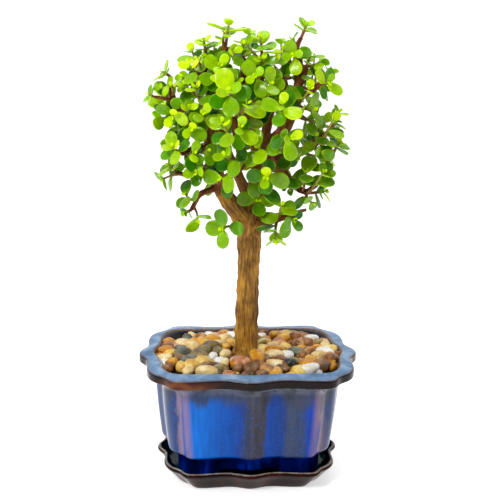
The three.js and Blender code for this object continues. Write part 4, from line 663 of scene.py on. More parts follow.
def leaf_look():
    """Thick glossy leaves: bright yellow-green when young, with painted shade making them deep green inside
    the crown.
    """
    look = Look("jade_leaf", Roughness=0.2, Specular_IOR_Level=0.16, Coat_Weight=0.1, Coat_Roughness=0.06,
                Subsurface_Weight=0.12, Subsurface_Scale=0.002)
    look.shader.inputs["Subsurface Radius"].default_value = (0.6, 1.0, 0.05)
    tone = look.attribute("tone", "Vector")
    spot = look.attribute("spot", "Vector")
    parts = look.node("SeparateXYZ", (0, tone))
    young, luck, deep = parts.outputs[0], parts.outputs[1], parts.outputs[2]
    where = look.node("SeparateXYZ", (0, spot))
    along, edge = where.outputs[0], where.outputs[1]
    place = look.place()
    mottle = look.noise(place, 260, 4, 0.6)
    old = look.ramp(luck, (0.0, srgb(44, 120, 0)), (0.5, srgb(86, 166, 0)), (1.0, srgb(128, 198, 0)))
    dark = look.ramp(luck, (0.0, srgb(10, 66, 0)), (1.0, srgb(36, 104, 0)))
    fresh = look.ramp(luck, (0.0, srgb(158, 214, 0)), (1.0, srgb(220, 246, 0)))
    # Painted shade: leaves inside and low in the crown turn deep green.
    colour = look.mix(deep, old, dark)
    colour = look.mix(young, colour, fresh)
    base = look.spread(along, 0.45, 0.0)
    colour = look.mix(look.math("MULTIPLY", base, 0.45), colour, srgb(176, 220, 10))
    margin = look.ramp(edge, (0.82, 0.0), (0.98, 1.0))
    colour = look.mix(look.math("MULTIPLY", margin, 0.3), colour, srgb(200, 224, 30))
    shade = look.ramp(mottle, (0.3, 0.82), (0.7, 1.12))
    colour = look.mix(1.0, colour, shade, "MULTIPLY")
    look.feed("Base Color", colour)
    look.feed("Roughness", look.spread(mottle, 0.3, 0.7, 0.14, 0.26))
    look.bump(mottle, 0.08, 0.0006)
    return look.material


def stem_look():
    """Young stems: red-brown, greener towards the tip."""
    look = Look("young_stem", Roughness=0.5, Subsurface_Weight=0.05, Subsurface_Scale=0.001)
    along = look.attribute("spot", "Vector")
    share = look.node("SeparateXYZ", (0, along)).outputs[0]
    place = look.place()
    speck = look.noise(place, 900, 4, 0.6)
    brown = look.ramp(speck, (0.3, srgb(92, 44, 22)), (0.7, srgb(164, 96, 56)))
    green = look.ramp(speck, (0.3, srgb(122, 120, 40)), (0.7, srgb(164, 170, 60)))
    look.feed("Base Color", look.mix(look.spread(share, 0.35, 1.0), brown, green))
    look.bump(speck, 0.3, 0.0004)
    return look.material


def stone_look(name, colours, speck=None, bands=0.0, glow=0.0, rough=0.42):
    """A pebble: mottled colours, with specks or bands."""
    look = Look(name, Roughness=rough, Specular_IOR_Level=0.5, Subsurface_Weight=glow, Subsurface_Scale=0.003)
    rock = look.attribute("rock", "Vector")
    broad = look.noise(rock, 110, 4, 0.55, 0.4)
    fine = look.noise(rock, 900, 5, 0.7)
    stops = [(0.3 + 0.4 * i / (len(colours) - 1), srgb(*c)) for i, c in enumerate(colours)]
    colour = look.ramp(broad, *stops)
    if bands:
        wave = look.node("TexWave", ("Vector", rock), ("Scale", bands), ("Distortion", 5.0), ("Detail", 2.0),
                         ("Detail Scale", 1.5)).outputs["Fac"]
        colour = look.mix(look.ramp(wave, (0.45, 0.0), (0.75, 0.65)), colour, srgb(*colours[0]))
    if speck:
        colour = look.mix(look.ramp(fine, (0.6, 0.0), (0.68, 0.85)), colour, srgb(*speck))
    pits = look.math("MULTIPLY", look.ramp(fine, (0.3, 1.0), (0.5, 0.0)), 0.35)
    colour = look.mix(pits, colour, srgb(70, 56, 40))
    look.feed("Base Color", colour)
    look.feed("Roughness", look.spread(fine, 0.3, 0.7, rough - 0.08, rough + 0.15))
    look.bump(fine, 0.25, 0.0006)
    return look.material


def soil_look():
    look = Look("potting_soil", Roughness=0.95, Specular_IOR_Level=0.2)
    place = look.place()
    crumbs = look.cells(place, 900)
    fine = look.noise(place, 1600, 5, 0.7)
    colour = look.ramp(fine, (0.3, srgb(24, 16, 10)), (0.55, srgb(62, 44, 28)), (0.75, srgb(112, 86, 56)))
    look.feed("Base Color", colour)
    look.bump(look.math("ADD", crumbs, fine), 0.8, 0.0015)
    return look.material


def plastic_look():
    look = Look("screen_plastic", Roughness=0.45)
    place = look.place()
    grain = look.noise(place, 1200, 3)
    look.feed("Base Color", look.ramp(grain, (0.3, srgb(14, 14, 15)), (0.7, srgb(34, 34, 36))))
    look.feed("Roughness", look.spread(grain, 0.2, 0.8, 0.35, 0.55))
    look.bump(grain, 0.15, 0.0004)
    return look.material


def floor_look():
    look = Look("pale_floor", Roughness=0.3, Specular_IOR_Level=0.5, Emission_Color=(1, 1, 1, 1),
                Emission_Strength=0.56)
    fine = look.noise(look.place(), 30, 3)
    look.feed("Base Color", look.ramp(fine, (0.3, srgb(246, 245, 244)), (0.7, srgb(250, 249, 248))))
    return look.material


GLAZE, SAUCER_GLAZE, BARK = glaze_look(), saucer_look(), bark_look()
LEAF, STEM, SOIL, PLASTIC = leaf_look(), stem_look(), soil_look(), plastic_look()


def stands_for(obj, slot, *nodes):
    """The piece rides on the part and stands for CAD nodes; the slot is not used."""
    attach(obj, "root")
    if nodes:
        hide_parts(*nodes)
    return obj


# ---------------------------------------------------------------- saucer and pot

def marks_of(marks, ridge):
    """Per-point attributes of a lobed loft: the four marks and the ridge, with the two cap centres."""
    named = {}
    for i, key in enumerate(MARKS):
        values = marks[:, :, i]
        named[key] = np.concatenate([values.ravel(), [values[0].mean(), values[-1].mean()]])
    named["ridge"] = np.concatenate([np.tile(ridge, len(marks)), [0, 0]])
    return named


def make_saucer():
    def at(amount, z, **marks):
        return row(z, lobed=(SAUCER_WIDTH / 2 - amount, SAUCER_DEPTH / 2 - amount), **marks)
    rows = [
        at(SAUCER_FLARE + 4, 0), at(SAUCER_FLARE + 1.5, 0), at(SAUCER_FLARE, 1.2), at(6.2, 5.2), at(3.4, 8.6),
        at(1.2, 11), at(0.2, 12.2), at(0, SAUCER_HEIGHT - 1.6), at(0.3, SAUCER_HEIGHT - 0.7, line=0.3),
        at(1.0, SAUCER_HEIGHT - 0.1, line=1), at(SAUCER_LIP / 2 + 0.3, SAUCER_HEIGHT, line=0.9),
        at(SAUCER_LIP - 0.4, SAUCER_HEIGHT - 0.5, line=0.2, inside=0.4),
        at(SAUCER_LIP + 0.2, SAUCER_HEIGHT - 2, inside=1),
        at(SAUCER_LIP + 2, SAUCER_HEIGHT - 5, inside=1), at(SAUCER_LIP + 3.4, SAUCER_FLOOR + 0.5, inside=1),
        at(SAUCER_LIP + 5, SAUCER_FLOOR, inside=1), at(SAUCER_LIP + 12, SAUCER_FLOOR, inside=1),
    ]
    rings, marks = lobed_loft(rounded(rows, 2))
    count = rings.shape[1]
    return new_mesh("saucer_body", loft_points(rings), loft_faces(len(rings), count), [SAUCER_GLAZE],
                    marks_of(marks, ridges(LOBED_RING)))


DRILL_SIDES = 32


def make_pot():
    def foot(amount, z):
        return row(z, lobed=(FOOT_WIDTH - amount, FOOT_DEPTH - amount))
    def foot_inside(amount, z):
        return row(z, soft=(FOOT_WIDTH - FOOT_RING - amount, FOOT_DEPTH - FOOT_RING - amount))
    rows = [
        foot_inside(6, BODY_BOTTOM), foot_inside(0, BODY_BOTTOM), foot_inside(0, POT_BASE + 1.4),
        foot_inside(-1.2, POT_BASE), foot(1.4, POT_BASE), foot(0, POT_BASE + 1.4), foot(0, BODY_BOTTOM - 2.5),
        foot(-1.0, BODY_BOTTOM - 0.4), inset(RIM_OVERHANG + BODY_TAPER + 4, BODY_BOTTOM),
        inset(RIM_OVERHANG + BODY_TAPER + 1.6, BODY_BOTTOM + 0.4),
        inset(RIM_OVERHANG + BODY_TAPER, BODY_BOTTOM + 2.2),
        inset(RIM_OVERHANG + BODY_TAPER * 0.85, BODY_BOTTOM + 8),
        inset(RIM_OVERHANG + BODY_TAPER * 0.62, BODY_BOTTOM + 16),
        inset(RIM_OVERHANG + BODY_TAPER * 0.3, BODY_BOTTOM + 30), inset(RIM_OVERHANG + 0.4, BODY_TOP - 6),
        inset(RIM_OVERHANG + 0.2, BODY_TOP - 1.5), inset(RIM_OVERHANG * 0.86, BODY_TOP + 1.6),
        inset(RIM_OVERHANG * 0.5, RIM_UNDER - 1.2), inset(RIM_OVERHANG * 0.2, RIM_UNDER - 0.2, band=0.5),
        inset(0.5, RIM_UNDER + 0.1, band=1, line=0.2), inset(0, RIM_UNDER + 0.9, band=1),
        inset(0, RIM_UNDER + 2.6, band=1),
        inset(0, RIM_FACE - 1.6, band=1), inset(0.2, RIM_FACE - 0.7, band=1, line=0.3),
        # The line mark here is tan glaze and the band's painted top-edge highlight.
        inset(1.0, RIM_FACE, band=0.3, top=0.7, line=0.8), inset(2.4, RIM_FACE + 0.3, top=1),
        row(RIM_TOP - 0.4, soft=(INNER_WIDTH + 4.2, INNER_DEPTH + 4.2), top=1),
        row(RIM_TOP, soft=(INNER_WIDTH + 1.8, INNER_DEPTH + 1.8), top=1, line=0.1),
        row(RIM_TOP - 0.1, soft=(INNER_WIDTH + 0.7, INNER_DEPTH + 0.7), top=0.8, line=1),
        row(RIM_TOP - 0.9, soft=(INNER_WIDTH + 0.1, INNER_DEPTH + 0.1), top=0.2, line=0.9, inside=0.3),
        *(inside_row(z, inside=1) for z in (RIM_TOP - 2.6, RIM_TOP - 5, GRIT_TOP)),
        *(inside_row(FLOOR_TOP + rise, inside=1) for rise in (16, 3, 0)),
        inside_row(FLOOR_TOP, clearance=8, inside=1),
    ]
    rings, marks = lobed_loft(rounded(rows, 2))
    arch_wide, arch_deep = FOOT_WIDTH * 0.4, FOOT_DEPTH * 0.35
    for ring in rings[: 2 * len(rings) // 5]:
        low = ring[:, 2] < BODY_BOTTOM - 1
        wide = np.clip((arch_wide + 1.5 - abs(ring[:, 0])) / 3, 0, 1)
        deep = np.clip((arch_deep + 1.5 - abs(ring[:, 1])) / 3, 0, 1)
        share = np.maximum(wide, deep)
        lift = FOOT_ARCH * share * share * (3 - 2 * share)
        height = (BODY_BOTTOM - 1 - ring[:, 2]) / (BODY_BOTTOM - 1 - POT_BASE)
        ring[:, 2] += np.where(low, lift * np.clip(height, 0, 1), 0)
    count = rings.shape[1]
    pot = new_mesh("pot_body", loft_points(rings), loft_faces(len(rings), count), [GLAZE],
                   marks_of(marks, ridges(LOBED_RING)))
    drills = []
    for side in (-1, 1):
        turns = np.arange(DRILL_SIDES) * 2 * math.pi / DRILL_SIDES
        x, y = side * DRAIN_SPACING / 2 + DRAIN_HOLE / 2 * np.cos(turns), DRAIN_HOLE / 2 * np.sin(turns)
        hole = [np.column_stack([x, y, np.full(DRILL_SIDES, z)]) for z in (BODY_BOTTOM - 1, FLOOR_TOP + 1)]
        drill = new_mesh("drill", loft_points(np.array(hole)), loft_faces(2, DRILL_SIDES), [GLAZE])
        cut = pot.modifiers.new("hole", "BOOLEAN")
        cut.operation, cut.solver, cut.object = "DIFFERENCE", "EXACT", drill
        drills.append(drill)
    apply_modifiers(pot)
    for drill in drills:
        bpy.data.objects.remove(drill)
    return pot


stands_for(make_saucer(), "saucer_glaze", "saucer")
stands_for(make_pot(), "blue_glaze", "pot")
for node, material, slot in (("soil", SOIL, "soil"), ("drain_screen_left", PLASTIC, "screen_plastic"),
                             ("drain_screen_right", PLASTIC, "screen_plastic")):
    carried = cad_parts[node]
    for material_slot in carried.material_slots:
        material_slot.material = material
    if not carried.material_slots:
        carried.data.materials.append(material)


# ---------------------------------------------------------------- wood

def crown_point(place):
    x, y, z = place[:3]
    radius = place[3] if len(place) > 3 else 0
    wide, deep, high = CROWN_WIDTH / DRAWN_WIDTH, CROWN_DEPTH / DRAWN_DEPTH, CROWN_HEIGHT / DRAWN_HEIGHT
    return vec(x * wide, y * deep, FORK_HEIGHT + z * high, radius * (wide * deep * high) ** (1 / 3))


def along(places, share):
    """A point along a limb, with its radius, on a smooth curve through the limb's places."""
    last = len(places) - 1
    reach = min(max(share, 0), 1) * last
    i = min(math.floor(reach), last - 1)
    f = reach - i
    a, b, c, d = places[max(i - 1, 0)], places[i], places[i + 1], places[min(i + 2, last)]
    return 0.5 * (2 * b + (c - a) * f + (2 * a - 5 * b + 4 * c - d) * f * f + (3 * b - a - 3 * c + d) * f**3)


limbs = {name: [crown_point(place) for place in places] for name, places in LIMBS.items()}
TRUNK_X = -1.5
TRUNK_PLACES = [
    vec(TRUNK_X, 0, SOIL_TOP - 26, TRUNK_RADIUS * 0.55), vec(TRUNK_X, 0, SOIL_TOP - 6, TRUNK_RADIUS * 1.25),
    vec(TRUNK_X, 0, SOIL_TOP + 4, TRUNK_RADIUS * 1.22), vec(TRUNK_X, 0, SOIL_TOP + 14, TRUNK_RADIUS * 1.04),
    vec(-1.2, 0, SOIL_TOP + 40, TRUNK_RADIUS), vec(-0.6, 0, FORK_HEIGHT - 30, TRUNK_RADIUS * 0.99),
    vec(-0.4, 0, FORK_HEIGHT - 10, TRUNK_RADIUS * 1.04), vec(0.2, 0, FORK_HEIGHT, TRUNK_RADIUS * 0.98),
]


def root_places(turn, reach):
    def at(distance, drop, radius):
        return vec(TRUNK_X + math.cos(turn) * distance, math.sin(turn) * distance, SOIL_TOP - drop, radius)
    return [at(0, 8, 4.5), at(reach * 0.45, 13, 3.6), at(reach, 22, 1.8)]


def sweep(centres, radii, sides, lumps=0.0, seed=0):
    """A closed tube of rings about a centreline, with its points and faces."""
    rings, side = [], vec(0, 1, 0)
    for i, centre in enumerate(centres):
        tangent = unit(centres[min(i + 1, len(centres) - 1)] - centres[max(i - 1, 0)])
        if abs(side @ tangent) > 0.95:
            side = vec(1, 0, 0)
        side = unit(side - tangent * (side @ tangent))
        other = np.cross(tangent, side)
        turns = np.arange(sides) * 2 * math.pi / sides
        swell = 1 + lumps * (chance(seed + i) - 0.5) + lumps * 0.6 * np.sin(2 * turns + seed + 0.35 * i)
        rings.append(centre + np.outer(radii[i] * swell * np.cos(turns), side)
                     + np.outer(radii[i] * swell * np.sin(turns), other))
    return np.array(rings)


LIMB_SIDES, LIMB_LUMPS, BARK_VOXEL = 14, 0.09, 0.62


def make_wood():
    """The trunk, its roots and every limb, grown together into one bark-covered piece."""
    spines = [(TRUNK_PLACES, 60)]
    spines += [(root_places(turn, 26 + 4 * (i % 2)), 10) for i, turn in enumerate((0.3, 1.6, 2.8, 4.1, 5.3))]
    spines += [(places, 6 * len(places)) for places in limbs.values()]
    points, faces, samples = [], [], []
    for number, (places, steps) in enumerate(spines):
        line = np.array([along(places, i / steps) for i in range(steps + 1)])
        rings = sweep(line[:, :3], line[:, 3], LIMB_SIDES, LIMB_LUMPS, number * 40)
        start = sum(len(p) for p in points)
        points.append(loft_points(rings))
        faces += [tuple(start + k for k in face) for face in loft_faces(len(rings), LIMB_SIDES)]
        walked = np.concatenate([[0], np.cumsum(np.linalg.norm(np.diff(line[:, :3], axis=0), axis=1))])
        for i, at in enumerate(line):
            tangent = unit(line[min(i + 1, steps), :3] - line[max(i - 1, 0), :3])
            samples.append((at, tangent, walked[i] + 37 * number))
    wood = new_mesh("wood", np.vstack(points), faces, [BARK])
    skin = wood.modifiers.new("skin", "REMESH")
    skin.mode, skin.voxel_size, skin.use_smooth_shade = "VOXEL", BARK_VOXEL * MM, True
    ease = wood.modifiers.new("ease", "SMOOTH")
    ease.factor, ease.iterations = 0.5, 4
    apply_modifiers(wood)

    tree = KDTree(len(samples))
    for i, (at, _, _) in enumerate(samples):
        tree.insert(at[:3], i)
    tree.balance()
    mesh = wood.data
    spots, normals = vertex_array(mesh, "co") / MM, vertex_array(mesh, "normal")
    grain, girth, push = np.empty_like(spots), np.empty(len(spots)), np.empty(len(spots))
    for k, spot in enumerate(spots):
        at, tangent, walked = min((samples[i] for _, i, _ in tree.find_n(spot, 5)),
                                  key=lambda s: np.linalg.norm(spot - s[0][:3]) / s[0][3])
        offset = spot - at[:3]
        ahead = offset @ tangent
        offset = offset - ahead * tangent
        grain[k] = (*(offset[:2] + offset[2] * 0.5), (walked + ahead) * 0.13)
        girth[k] = at[3]
        p = Vector((grain[k][0] * 0.42, grain[k][1] * 0.42, grain[k][2] * 0.9 + offset[2] * 0.2))
        fibre = noise.fractal(p, 0.8, 2.1, 3)
        lump = noise.noise(Vector(spot * 0.11))
        push[k] = (0.05 * at[3] + 0.06) * fibre + 0.03 * at[3] * lump
    spots += normals * push[:, None]
    mesh.vertices.foreach_set("co", (spots * MM).ravel())
    for key, values in (("grain", grain * MM), ("girth", girth)):
        kind, field = ("FLOAT_VECTOR", "vector") if values.ndim == 2 else ("FLOAT", "value")
        mesh.attributes.new(key, kind, "POINT").data.foreach_set(field, values.ravel().astype(np.float32))
    mesh.materials.clear()
    mesh.materials.append(BARK)
    mesh.update()
    return wood


stands_for(make_wood(), "bark", "trunk")


# ---------------------------------------------------------------- how the leaves grow

STEM_STEPS = 3


def stem_point(shoot, share):
    i = min(math.floor(share * STEM_STEPS), STEM_STEPS - 1)
    a, b = shoot["joints"][i], shoot["joints"][i + 1]
    return a + (b - a) * (share * STEM_STEPS - i)


def stem_frame(shoot, share):
    ahead = min(max(share + 0.1, 0.2), 1)
    tangent = unit(stem_point(shoot, ahead) - stem_point(shoot, ahead - 0.2))
    tip = unit(stem_point(shoot, 1) - stem_point(shoot, 0.8))
    up = vec(0, 0, 1) if abs(tip[2]) < 0.85 else vec(0, -1, 0)
    return tangent, unit(np.cross(tangent, up))


def node_share(shoot, pair):
    spread = 0.62 * shoot["leaf"] * (shoot["pairs"] - 1) / max(shoot["reach"], 1)
    last = 1 - 1.4 / shoot["reach"]
    if shoot["pairs"] == 1:
        return last
    first = max(0.45, 1 - spread)
    return first + (last - first) * pair / (shoot["pairs"] - 1)


def half_width(u, length):
    """Half width of a leaf of that length at the share u along it."""
    s = np.maximum(u, 0) ** 1.5
    return 0.5 * LEAF_WIDE * length * np.sqrt(np.maximum(0, 1 - (2 * s - 1) ** 2))


PROBE_U, PROBE_V = np.meshgrid([0.32, 0.48, 0.64, 0.8, 0.96], [-0.85, -0.42, 0, 0.42, 0.85], indexing="ij")
PROBE_U, PROBE_V = PROBE_U.ravel(), PROBE_V.ravel()


def place_leaf(root, axis, face, length):
    side = np.cross(face, axis)
    across = PROBE_V * half_width(PROBE_U, length)
    probes = (root + np.outer(PROBE_U * length, axis) + np.outer(across, side)
              - np.outer(LEAF_ARCH * length * PROBE_U**2, face))
    return {"root": root, "axis": axis, "face": face, "side": side, "length": length, "probes": probes,
            "middle": root + axis * length * 0.55}


def leaf_holds(leaf, points):
    local, length = points - leaf["root"], leaf["length"]
    u = local @ leaf["axis"] / length
    wide = np.abs(local @ leaf["side"]) < half_width(u, length) + LEAF_ROOM
    height = local @ leaf["face"] + LEAF_ARCH * length * u * u
    thick = np.abs(height) < LEAF_THICK * length + LEAF_ROOM
    return bool(np.any((u > 0.12) & (u < 1 + LEAF_ROOM / length) & wide & thick))


STEM_TRIES = [(0, 0, 0), (0, 0.12, 0), (0, -0.12, 0), (0.05, 0, 0), (-0.05, 0, 0), (0, 0.22, 0.05),
              (0, -0.22, 0.05), (0.08, 0.15, 0), (0.08, -0.15, 0), (-0.08, 0.15, 0), (-0.08, -0.15, 0)]
STEM_WISH = 0.8
wood_lines = []
for limb_name, places in limbs.items():
    line = [along(places, i / 12) for i in range(13)]
    wood_lines += [(a[:3], b[:3], max(a[3], b[3]), limb_name) for a, b in zip(line, line[1:])]


def stem_room(shoot):
    """The least room between a stem and the wood around it, apart from the limb that it grows on."""
    others = [w for w in wood_lines if w[3] != shoot["limb"]]
    a, b = np.array([w[0] for w in others]), np.array([w[1] for w in others])
    radius, span = np.array([w[2] for w in others]), b - a
    room = math.inf
    for share in (0.2, 0.35, 0.5, 0.65, 0.8, 0.95):
        point = stem_point(shoot, share)
        t = np.clip(np.sum((point - a) * span, axis=1) / np.sum(span * span, axis=1), 0, 1)
        thick = shoot["thick"] + (shoot["thin"] - shoot["thick"]) * share
        room = min(room, np.min(np.linalg.norm(point - a - t[:, None] * span, axis=1) - radius) - thick)
    return room


def make_shoot(name, order):
    limb, at, tip, pairs, leaf, turn, hang = SHOOTS[name]
    ways = []
    for ahead, aside, drop in STEM_TRIES:
        root = along(limbs[limb], at if at == 1 else at + ahead)
        start, end = root[:3], crown_point(tip)[:3]
        reach = np.linalg.norm(end - start)
        level = unit(vec(end[1] - start[1], start[0] - end[0], 0))
        handle = (start + end) / 2 + vec(0, 0, -(hang + drop) * reach) + level * aside * reach
        thick = min(root[3] * 0.8, 0.75 + 0.011 * reach + 0.12 * pairs)
        joints = [(1 - t) ** 2 * start + 2 * (1 - t) * t * handle + t * t * end for t in (0, 1 / 3, 2 / 3, 1)]
        ways.append({"name": name, "order": order, "limb": limb, "pairs": pairs, "turn": turn, "reach": reach,
                     "thick": thick, "thin": 0.55, "leaf": leaf * LEAF_SCALE, "joints": joints,
                     "line": (start, handle, end)})
    rooms = [stem_room(way) for way in ways]
    free = [i for i, room in enumerate(rooms) if room >= STEM_WISH]
    shoot = ways[free[0] if free else rooms.index(max(rooms))]
    taper = shoot["thin"] - shoot["thick"]
    radii = [shoot["thick"] + taper * i / STEM_STEPS for i in range(STEM_STEPS + 1)]
    wood_lines.extend((shoot["joints"][i], shoot["joints"][i + 1], max(radii[i], radii[i + 1]), name)
                      for i in range(STEM_STEPS))
    return shoot


shoots = [make_shoot(name, order) for order, name in enumerate(SHOOTS)]
WOOD_A, WOOD_B = np.array([w[0] for w in wood_lines]), np.array([w[1] for w in wood_lines])
WOOD_R, WOOD_OWNER = np.array([w[2] for w in wood_lines]), np.array([w[3] for w in wood_lines])
WOOD_MIDDLE, WOOD_SPAN = (WOOD_A + WOOD_B) / 2, np.linalg.norm(WOOD_B - WOOD_A, axis=1)


def touches_wood(leaf, shoot):
    reach = LEAF_THICK * leaf["length"] * 0.5 + LEAF_ROOM
    apart = np.linalg.norm(WOOD_MIDDLE - leaf["middle"], axis=1)
    near = (WOOD_OWNER != shoot["name"]) & (apart <= leaf["length"] + WOOD_R + 0.5 * WOOD_SPAN + 2)
    for a, b, radius in zip(WOOD_A[near], WOOD_B[near], WOOD_R[near]):
        t = np.clip((leaf["probes"] - a) @ (b - a) / ((b - a) @ (b - a)), 0, 1)
        if np.min(np.linalg.norm(leaf["probes"] - a - np.outer(t, b - a), axis=1)) < radius + reach:
            return True
    return False


LEAF_TRIES = [(0, 0, 1), (16, 0, 1), (-16, 0, 1), (0, 14, 0.95), (0, -14, 0.95), (30, 0, 0.9), (-30, 0, 0.9),
              (22, 14, 0.82), (-22, 14, 0.82), (0, 0, 0.72), (35, -12, 0.7), (-35, -12, 0.7), (0, 10, 0.55)]
leaves = []


def grow_leaf(shoot, pair, which):
    pairs, order = shoot["pairs"], shoot["order"]
    share = node_share(shoot, pair)
    base = stem_point(shoot, share)
    tangent, across = stem_frame(shoot, share)
    is_bud = pair == pairs - 1 and pairs > 2
    opening = (50 if is_bud else 68) + 10 * (chance(order * 7 + pair * 3) - 0.5)
    size = 0.62 if is_bud else (1 if pair == pairs - 2 or pairs < 3 else 0.92)
    seed = order * 31 + pair * 5 + which * 2
    turn = shoot["turn"] + 90 * pair + 180 * which + 16 * (chance(seed) - 0.5)
    length = shoot["leaf"] * size * (0.92 + 0.16 * chance(seed + 1))
    for aside, lift, smaller in LEAF_TRIES:
        out = turned(across, tangent, math.radians(turn + aside))
        angle = math.radians(opening + lift)
        axis = tangent * math.cos(angle) + out * math.sin(angle)
        face = tangent * math.sin(angle) - out * math.cos(angle)
        leaf = place_leaf(base + 0.3 * axis, axis, face, length * smaller)
        crowded = any(
            np.linalg.norm(other["middle"] - leaf["middle"]) <= 0.75 * (other["length"] + leaf["length"])
            and not (other["shoot"] is shoot and other["pair"] == pair)
            and (leaf_holds(other, leaf["probes"]) or leaf_holds(leaf, other["probes"]))
            for other in leaves)
        if not crowded and not touches_wood(leaf, shoot):
            leaves.append({**leaf, "shoot": shoot, "pair": pair, "which": which, "bud": is_bud, "seed": seed})
            return


for shoot in shoots:
    for pair in range(shoot["pairs"]):
        for which in (0, 1):
            grow_leaf(shoot, pair, which)


# ---------------------------------------------------------------- leaf and stem meshes

LEAF_STATIONS = np.array([0.0, 0.06, 0.13, 0.22, 0.34, 0.48, 0.62, 0.75, 0.86, 0.94, 0.985])
LEAF_SIDES = 12
STEM_RINGS, STEM_SIDES, STEM_LUMPS = 19, 10, 0.06
TIP_OPENING, TIP_LEAF = math.radians(26), 0.26      # of the tiny pair at a shoot's tip
CROWN_CENTRE = vec(0, 0, FORK_HEIGHT + CROWN_HEIGHT * 0.45)
CROWN_HALF = vec(CROWN_WIDTH / 2, CROWN_DEPTH / 2, CROWN_HEIGHT * 0.6)


def leaf_skin(leaf):
    """The points of one thick leaf as rings about its midline, and the share and edge of each point."""
    length, seed = leaf["length"], leaf["seed"]
    cup = 0.05 * length * (0.4 + 1.1 * chance(seed + 11))
    twist = math.radians(16 * (chance(seed + 12) - 0.5))
    curl = 1 + 0.5 * (chance(seed + 13) - 0.5)
    turns = np.arange(LEAF_SIDES) * 2 * math.pi / LEAF_SIDES
    v = np.sign(np.cos(turns)) * np.abs(np.cos(turns)) ** 0.85
    w = np.sign(np.sin(turns)) * np.abs(np.sin(turns)) ** 0.8
    rings, marks = [], []
    for u in LEAF_STATIONS:
        neck = max(0, 1 - u / 0.2)
        wide = half_width(u, length) * (1 - neck) + 0.05 * length * neck
        thick = (LEAF_THICK * 0.5 * length * (0.55 + 0.45 * min(1, u / 0.3))
                 * math.sqrt(max(0, 1 - u**5)) * 0.92)
        thick = max(thick, 0.02 * length)
        across, lift = v * wide, w * thick + cup * (v * v) * u - LEAF_ARCH * curl * length * u * u
        bend = twist * u
        side = leaf["side"] * math.cos(bend) + leaf["face"] * math.sin(bend)
        face = leaf["face"] * math.cos(bend) - leaf["side"] * math.sin(bend)
        rings.append(leaf["root"] + leaf["axis"] * u * length + np.outer(across, side) + np.outer(lift, face))
        marks.append(np.column_stack([np.full(LEAF_SIDES, u), np.abs(v), w]))
    rings, marks = np.array(rings), np.array(marks)
    points, spots = loft_points(rings), loft_points(marks)
    points[-1] += leaf["axis"] * length * 0.012
    return points, spots, loft_faces(len(rings), LEAF_SIDES)


def leaf_tone(leaf):
    """How young a leaf is, its own tone, and how deep it lies in the crown, which sets its painted shade."""
    shoot, seed = leaf["shoot"], leaf["seed"]
    from_tip = shoot["pairs"] - 1 - leaf["pair"]
    young = 0.95 if leaf["bud"] else (0.5 if from_tip <= 1 else 0.12)
    out = (leaf["middle"] - CROWN_CENTRE) / CROWN_HALF
    reach = math.sqrt(out @ out)
    # Painted shade: leaves inside and low in the crown get darker and less yellow, while high leaves get
    # painted lighter.
    deep = min(max(1.25 - reach - 0.25 * out[2], 0), 1)
    young = min(max(young * (0.55 + 0.7 * chance(seed + 21)) + 0.2 * out[2] - 0.3 * deep, 0), 1)
    return vec(young, chance(seed + 22), deep)


def stem_skin(shoot):
    """A young stem as rings that swell at each pair of leaves."""
    start, handle, end = shoot["line"]
    shares = np.arange(STEM_RINGS) / (STEM_RINGS - 1)
    centres = [(1 - t) ** 2 * start + 2 * (1 - t) * t * handle + t * t * end for t in shares]
    nodes = [node_share(shoot, pair) for pair in range(shoot["pairs"])]
    radii = []
    for t in shares:
        swell = 1 + 0.28 * max(math.exp(-((t - node) * shoot["reach"] / 1.1) ** 2) for node in nodes)
        radii.append((shoot["thick"] + (shoot["thin"] - shoot["thick"]) * t) * swell)
    rings = sweep(centres, radii, STEM_SIDES, STEM_LUMPS, shoot["order"])
    marks = np.zeros((STEM_RINGS, STEM_SIDES, 3))
    marks[:, :, 0] = shares[:, None]
    return loft_points(rings), loft_points(marks), loft_faces(STEM_RINGS, STEM_SIDES)


def make_foliage(shoot):
    """One shoot: its stem, its leaves and the tiny pair that opens at its tip."""
    points, spots, tones, faces, which_material = [], [], [], [], []

    def gather(made, tone, material):
        skin, marks, new_faces = made
        start = sum(len(p) for p in points)
        points.append(skin)
        spots.append(marks)
        tones.append(np.tile(tone, (len(skin), 1)))
        faces.extend(tuple(start + k for k in face) for face in new_faces)
        which_material.extend([material] * len(new_faces))

    gather(stem_skin(shoot), vec(0, 0, 0), 1)
    own = [leaf for leaf in leaves if leaf["shoot"] is shoot]
    for leaf in own:
        gather(leaf_skin(leaf), leaf_tone(leaf), 0)
    tangent, across = stem_frame(shoot, 1)
    for which in (0, 1):
        out = turned(across, tangent, math.radians(shoot["turn"] + 90 * shoot["pairs"] + 180 * which))
        axis = tangent * math.cos(TIP_OPENING) + out * math.sin(TIP_OPENING)
        face = tangent * math.sin(TIP_OPENING) - out * math.cos(TIP_OPENING)
        tip = place_leaf(stem_point(shoot, 1) - 0.2 * axis, axis, face, shoot["leaf"] * TIP_LEAF)
        gather(leaf_skin({**tip, "seed": shoot["order"] * 13 + which}), vec(1, 0.7, 0), 0)
    piece = new_mesh("leaves_" + shoot["name"], np.vstack(points), faces, [LEAF, STEM],
                     {"spot": np.vstack(spots), "tone": np.vstack(tones)}, which_material)
    finer = piece.modifiers.new("finer", "SUBSURF")
    finer.levels = finer.render_levels = 1
    return apply_modifiers(piece)


node_of_limb = {limb: node for node, parts in LIMB_NODES.items() for limb in parts}
for shoot in shoots:
    node = node_of_limb.get(shoot["limb"], "shoot_" + shoot["name"])
    stands_for(make_foliage(shoot), "jade_leaf", node)


# ---------------------------------------------------------------- soil surface and pebbles

def pebble_height(x, y):
    reach = math.hypot(x / INNER_WIDTH, y / INNER_DEPTH)
    return GRIT_TOP + SOIL_MOUND * max(0, 1 - reach * reach)


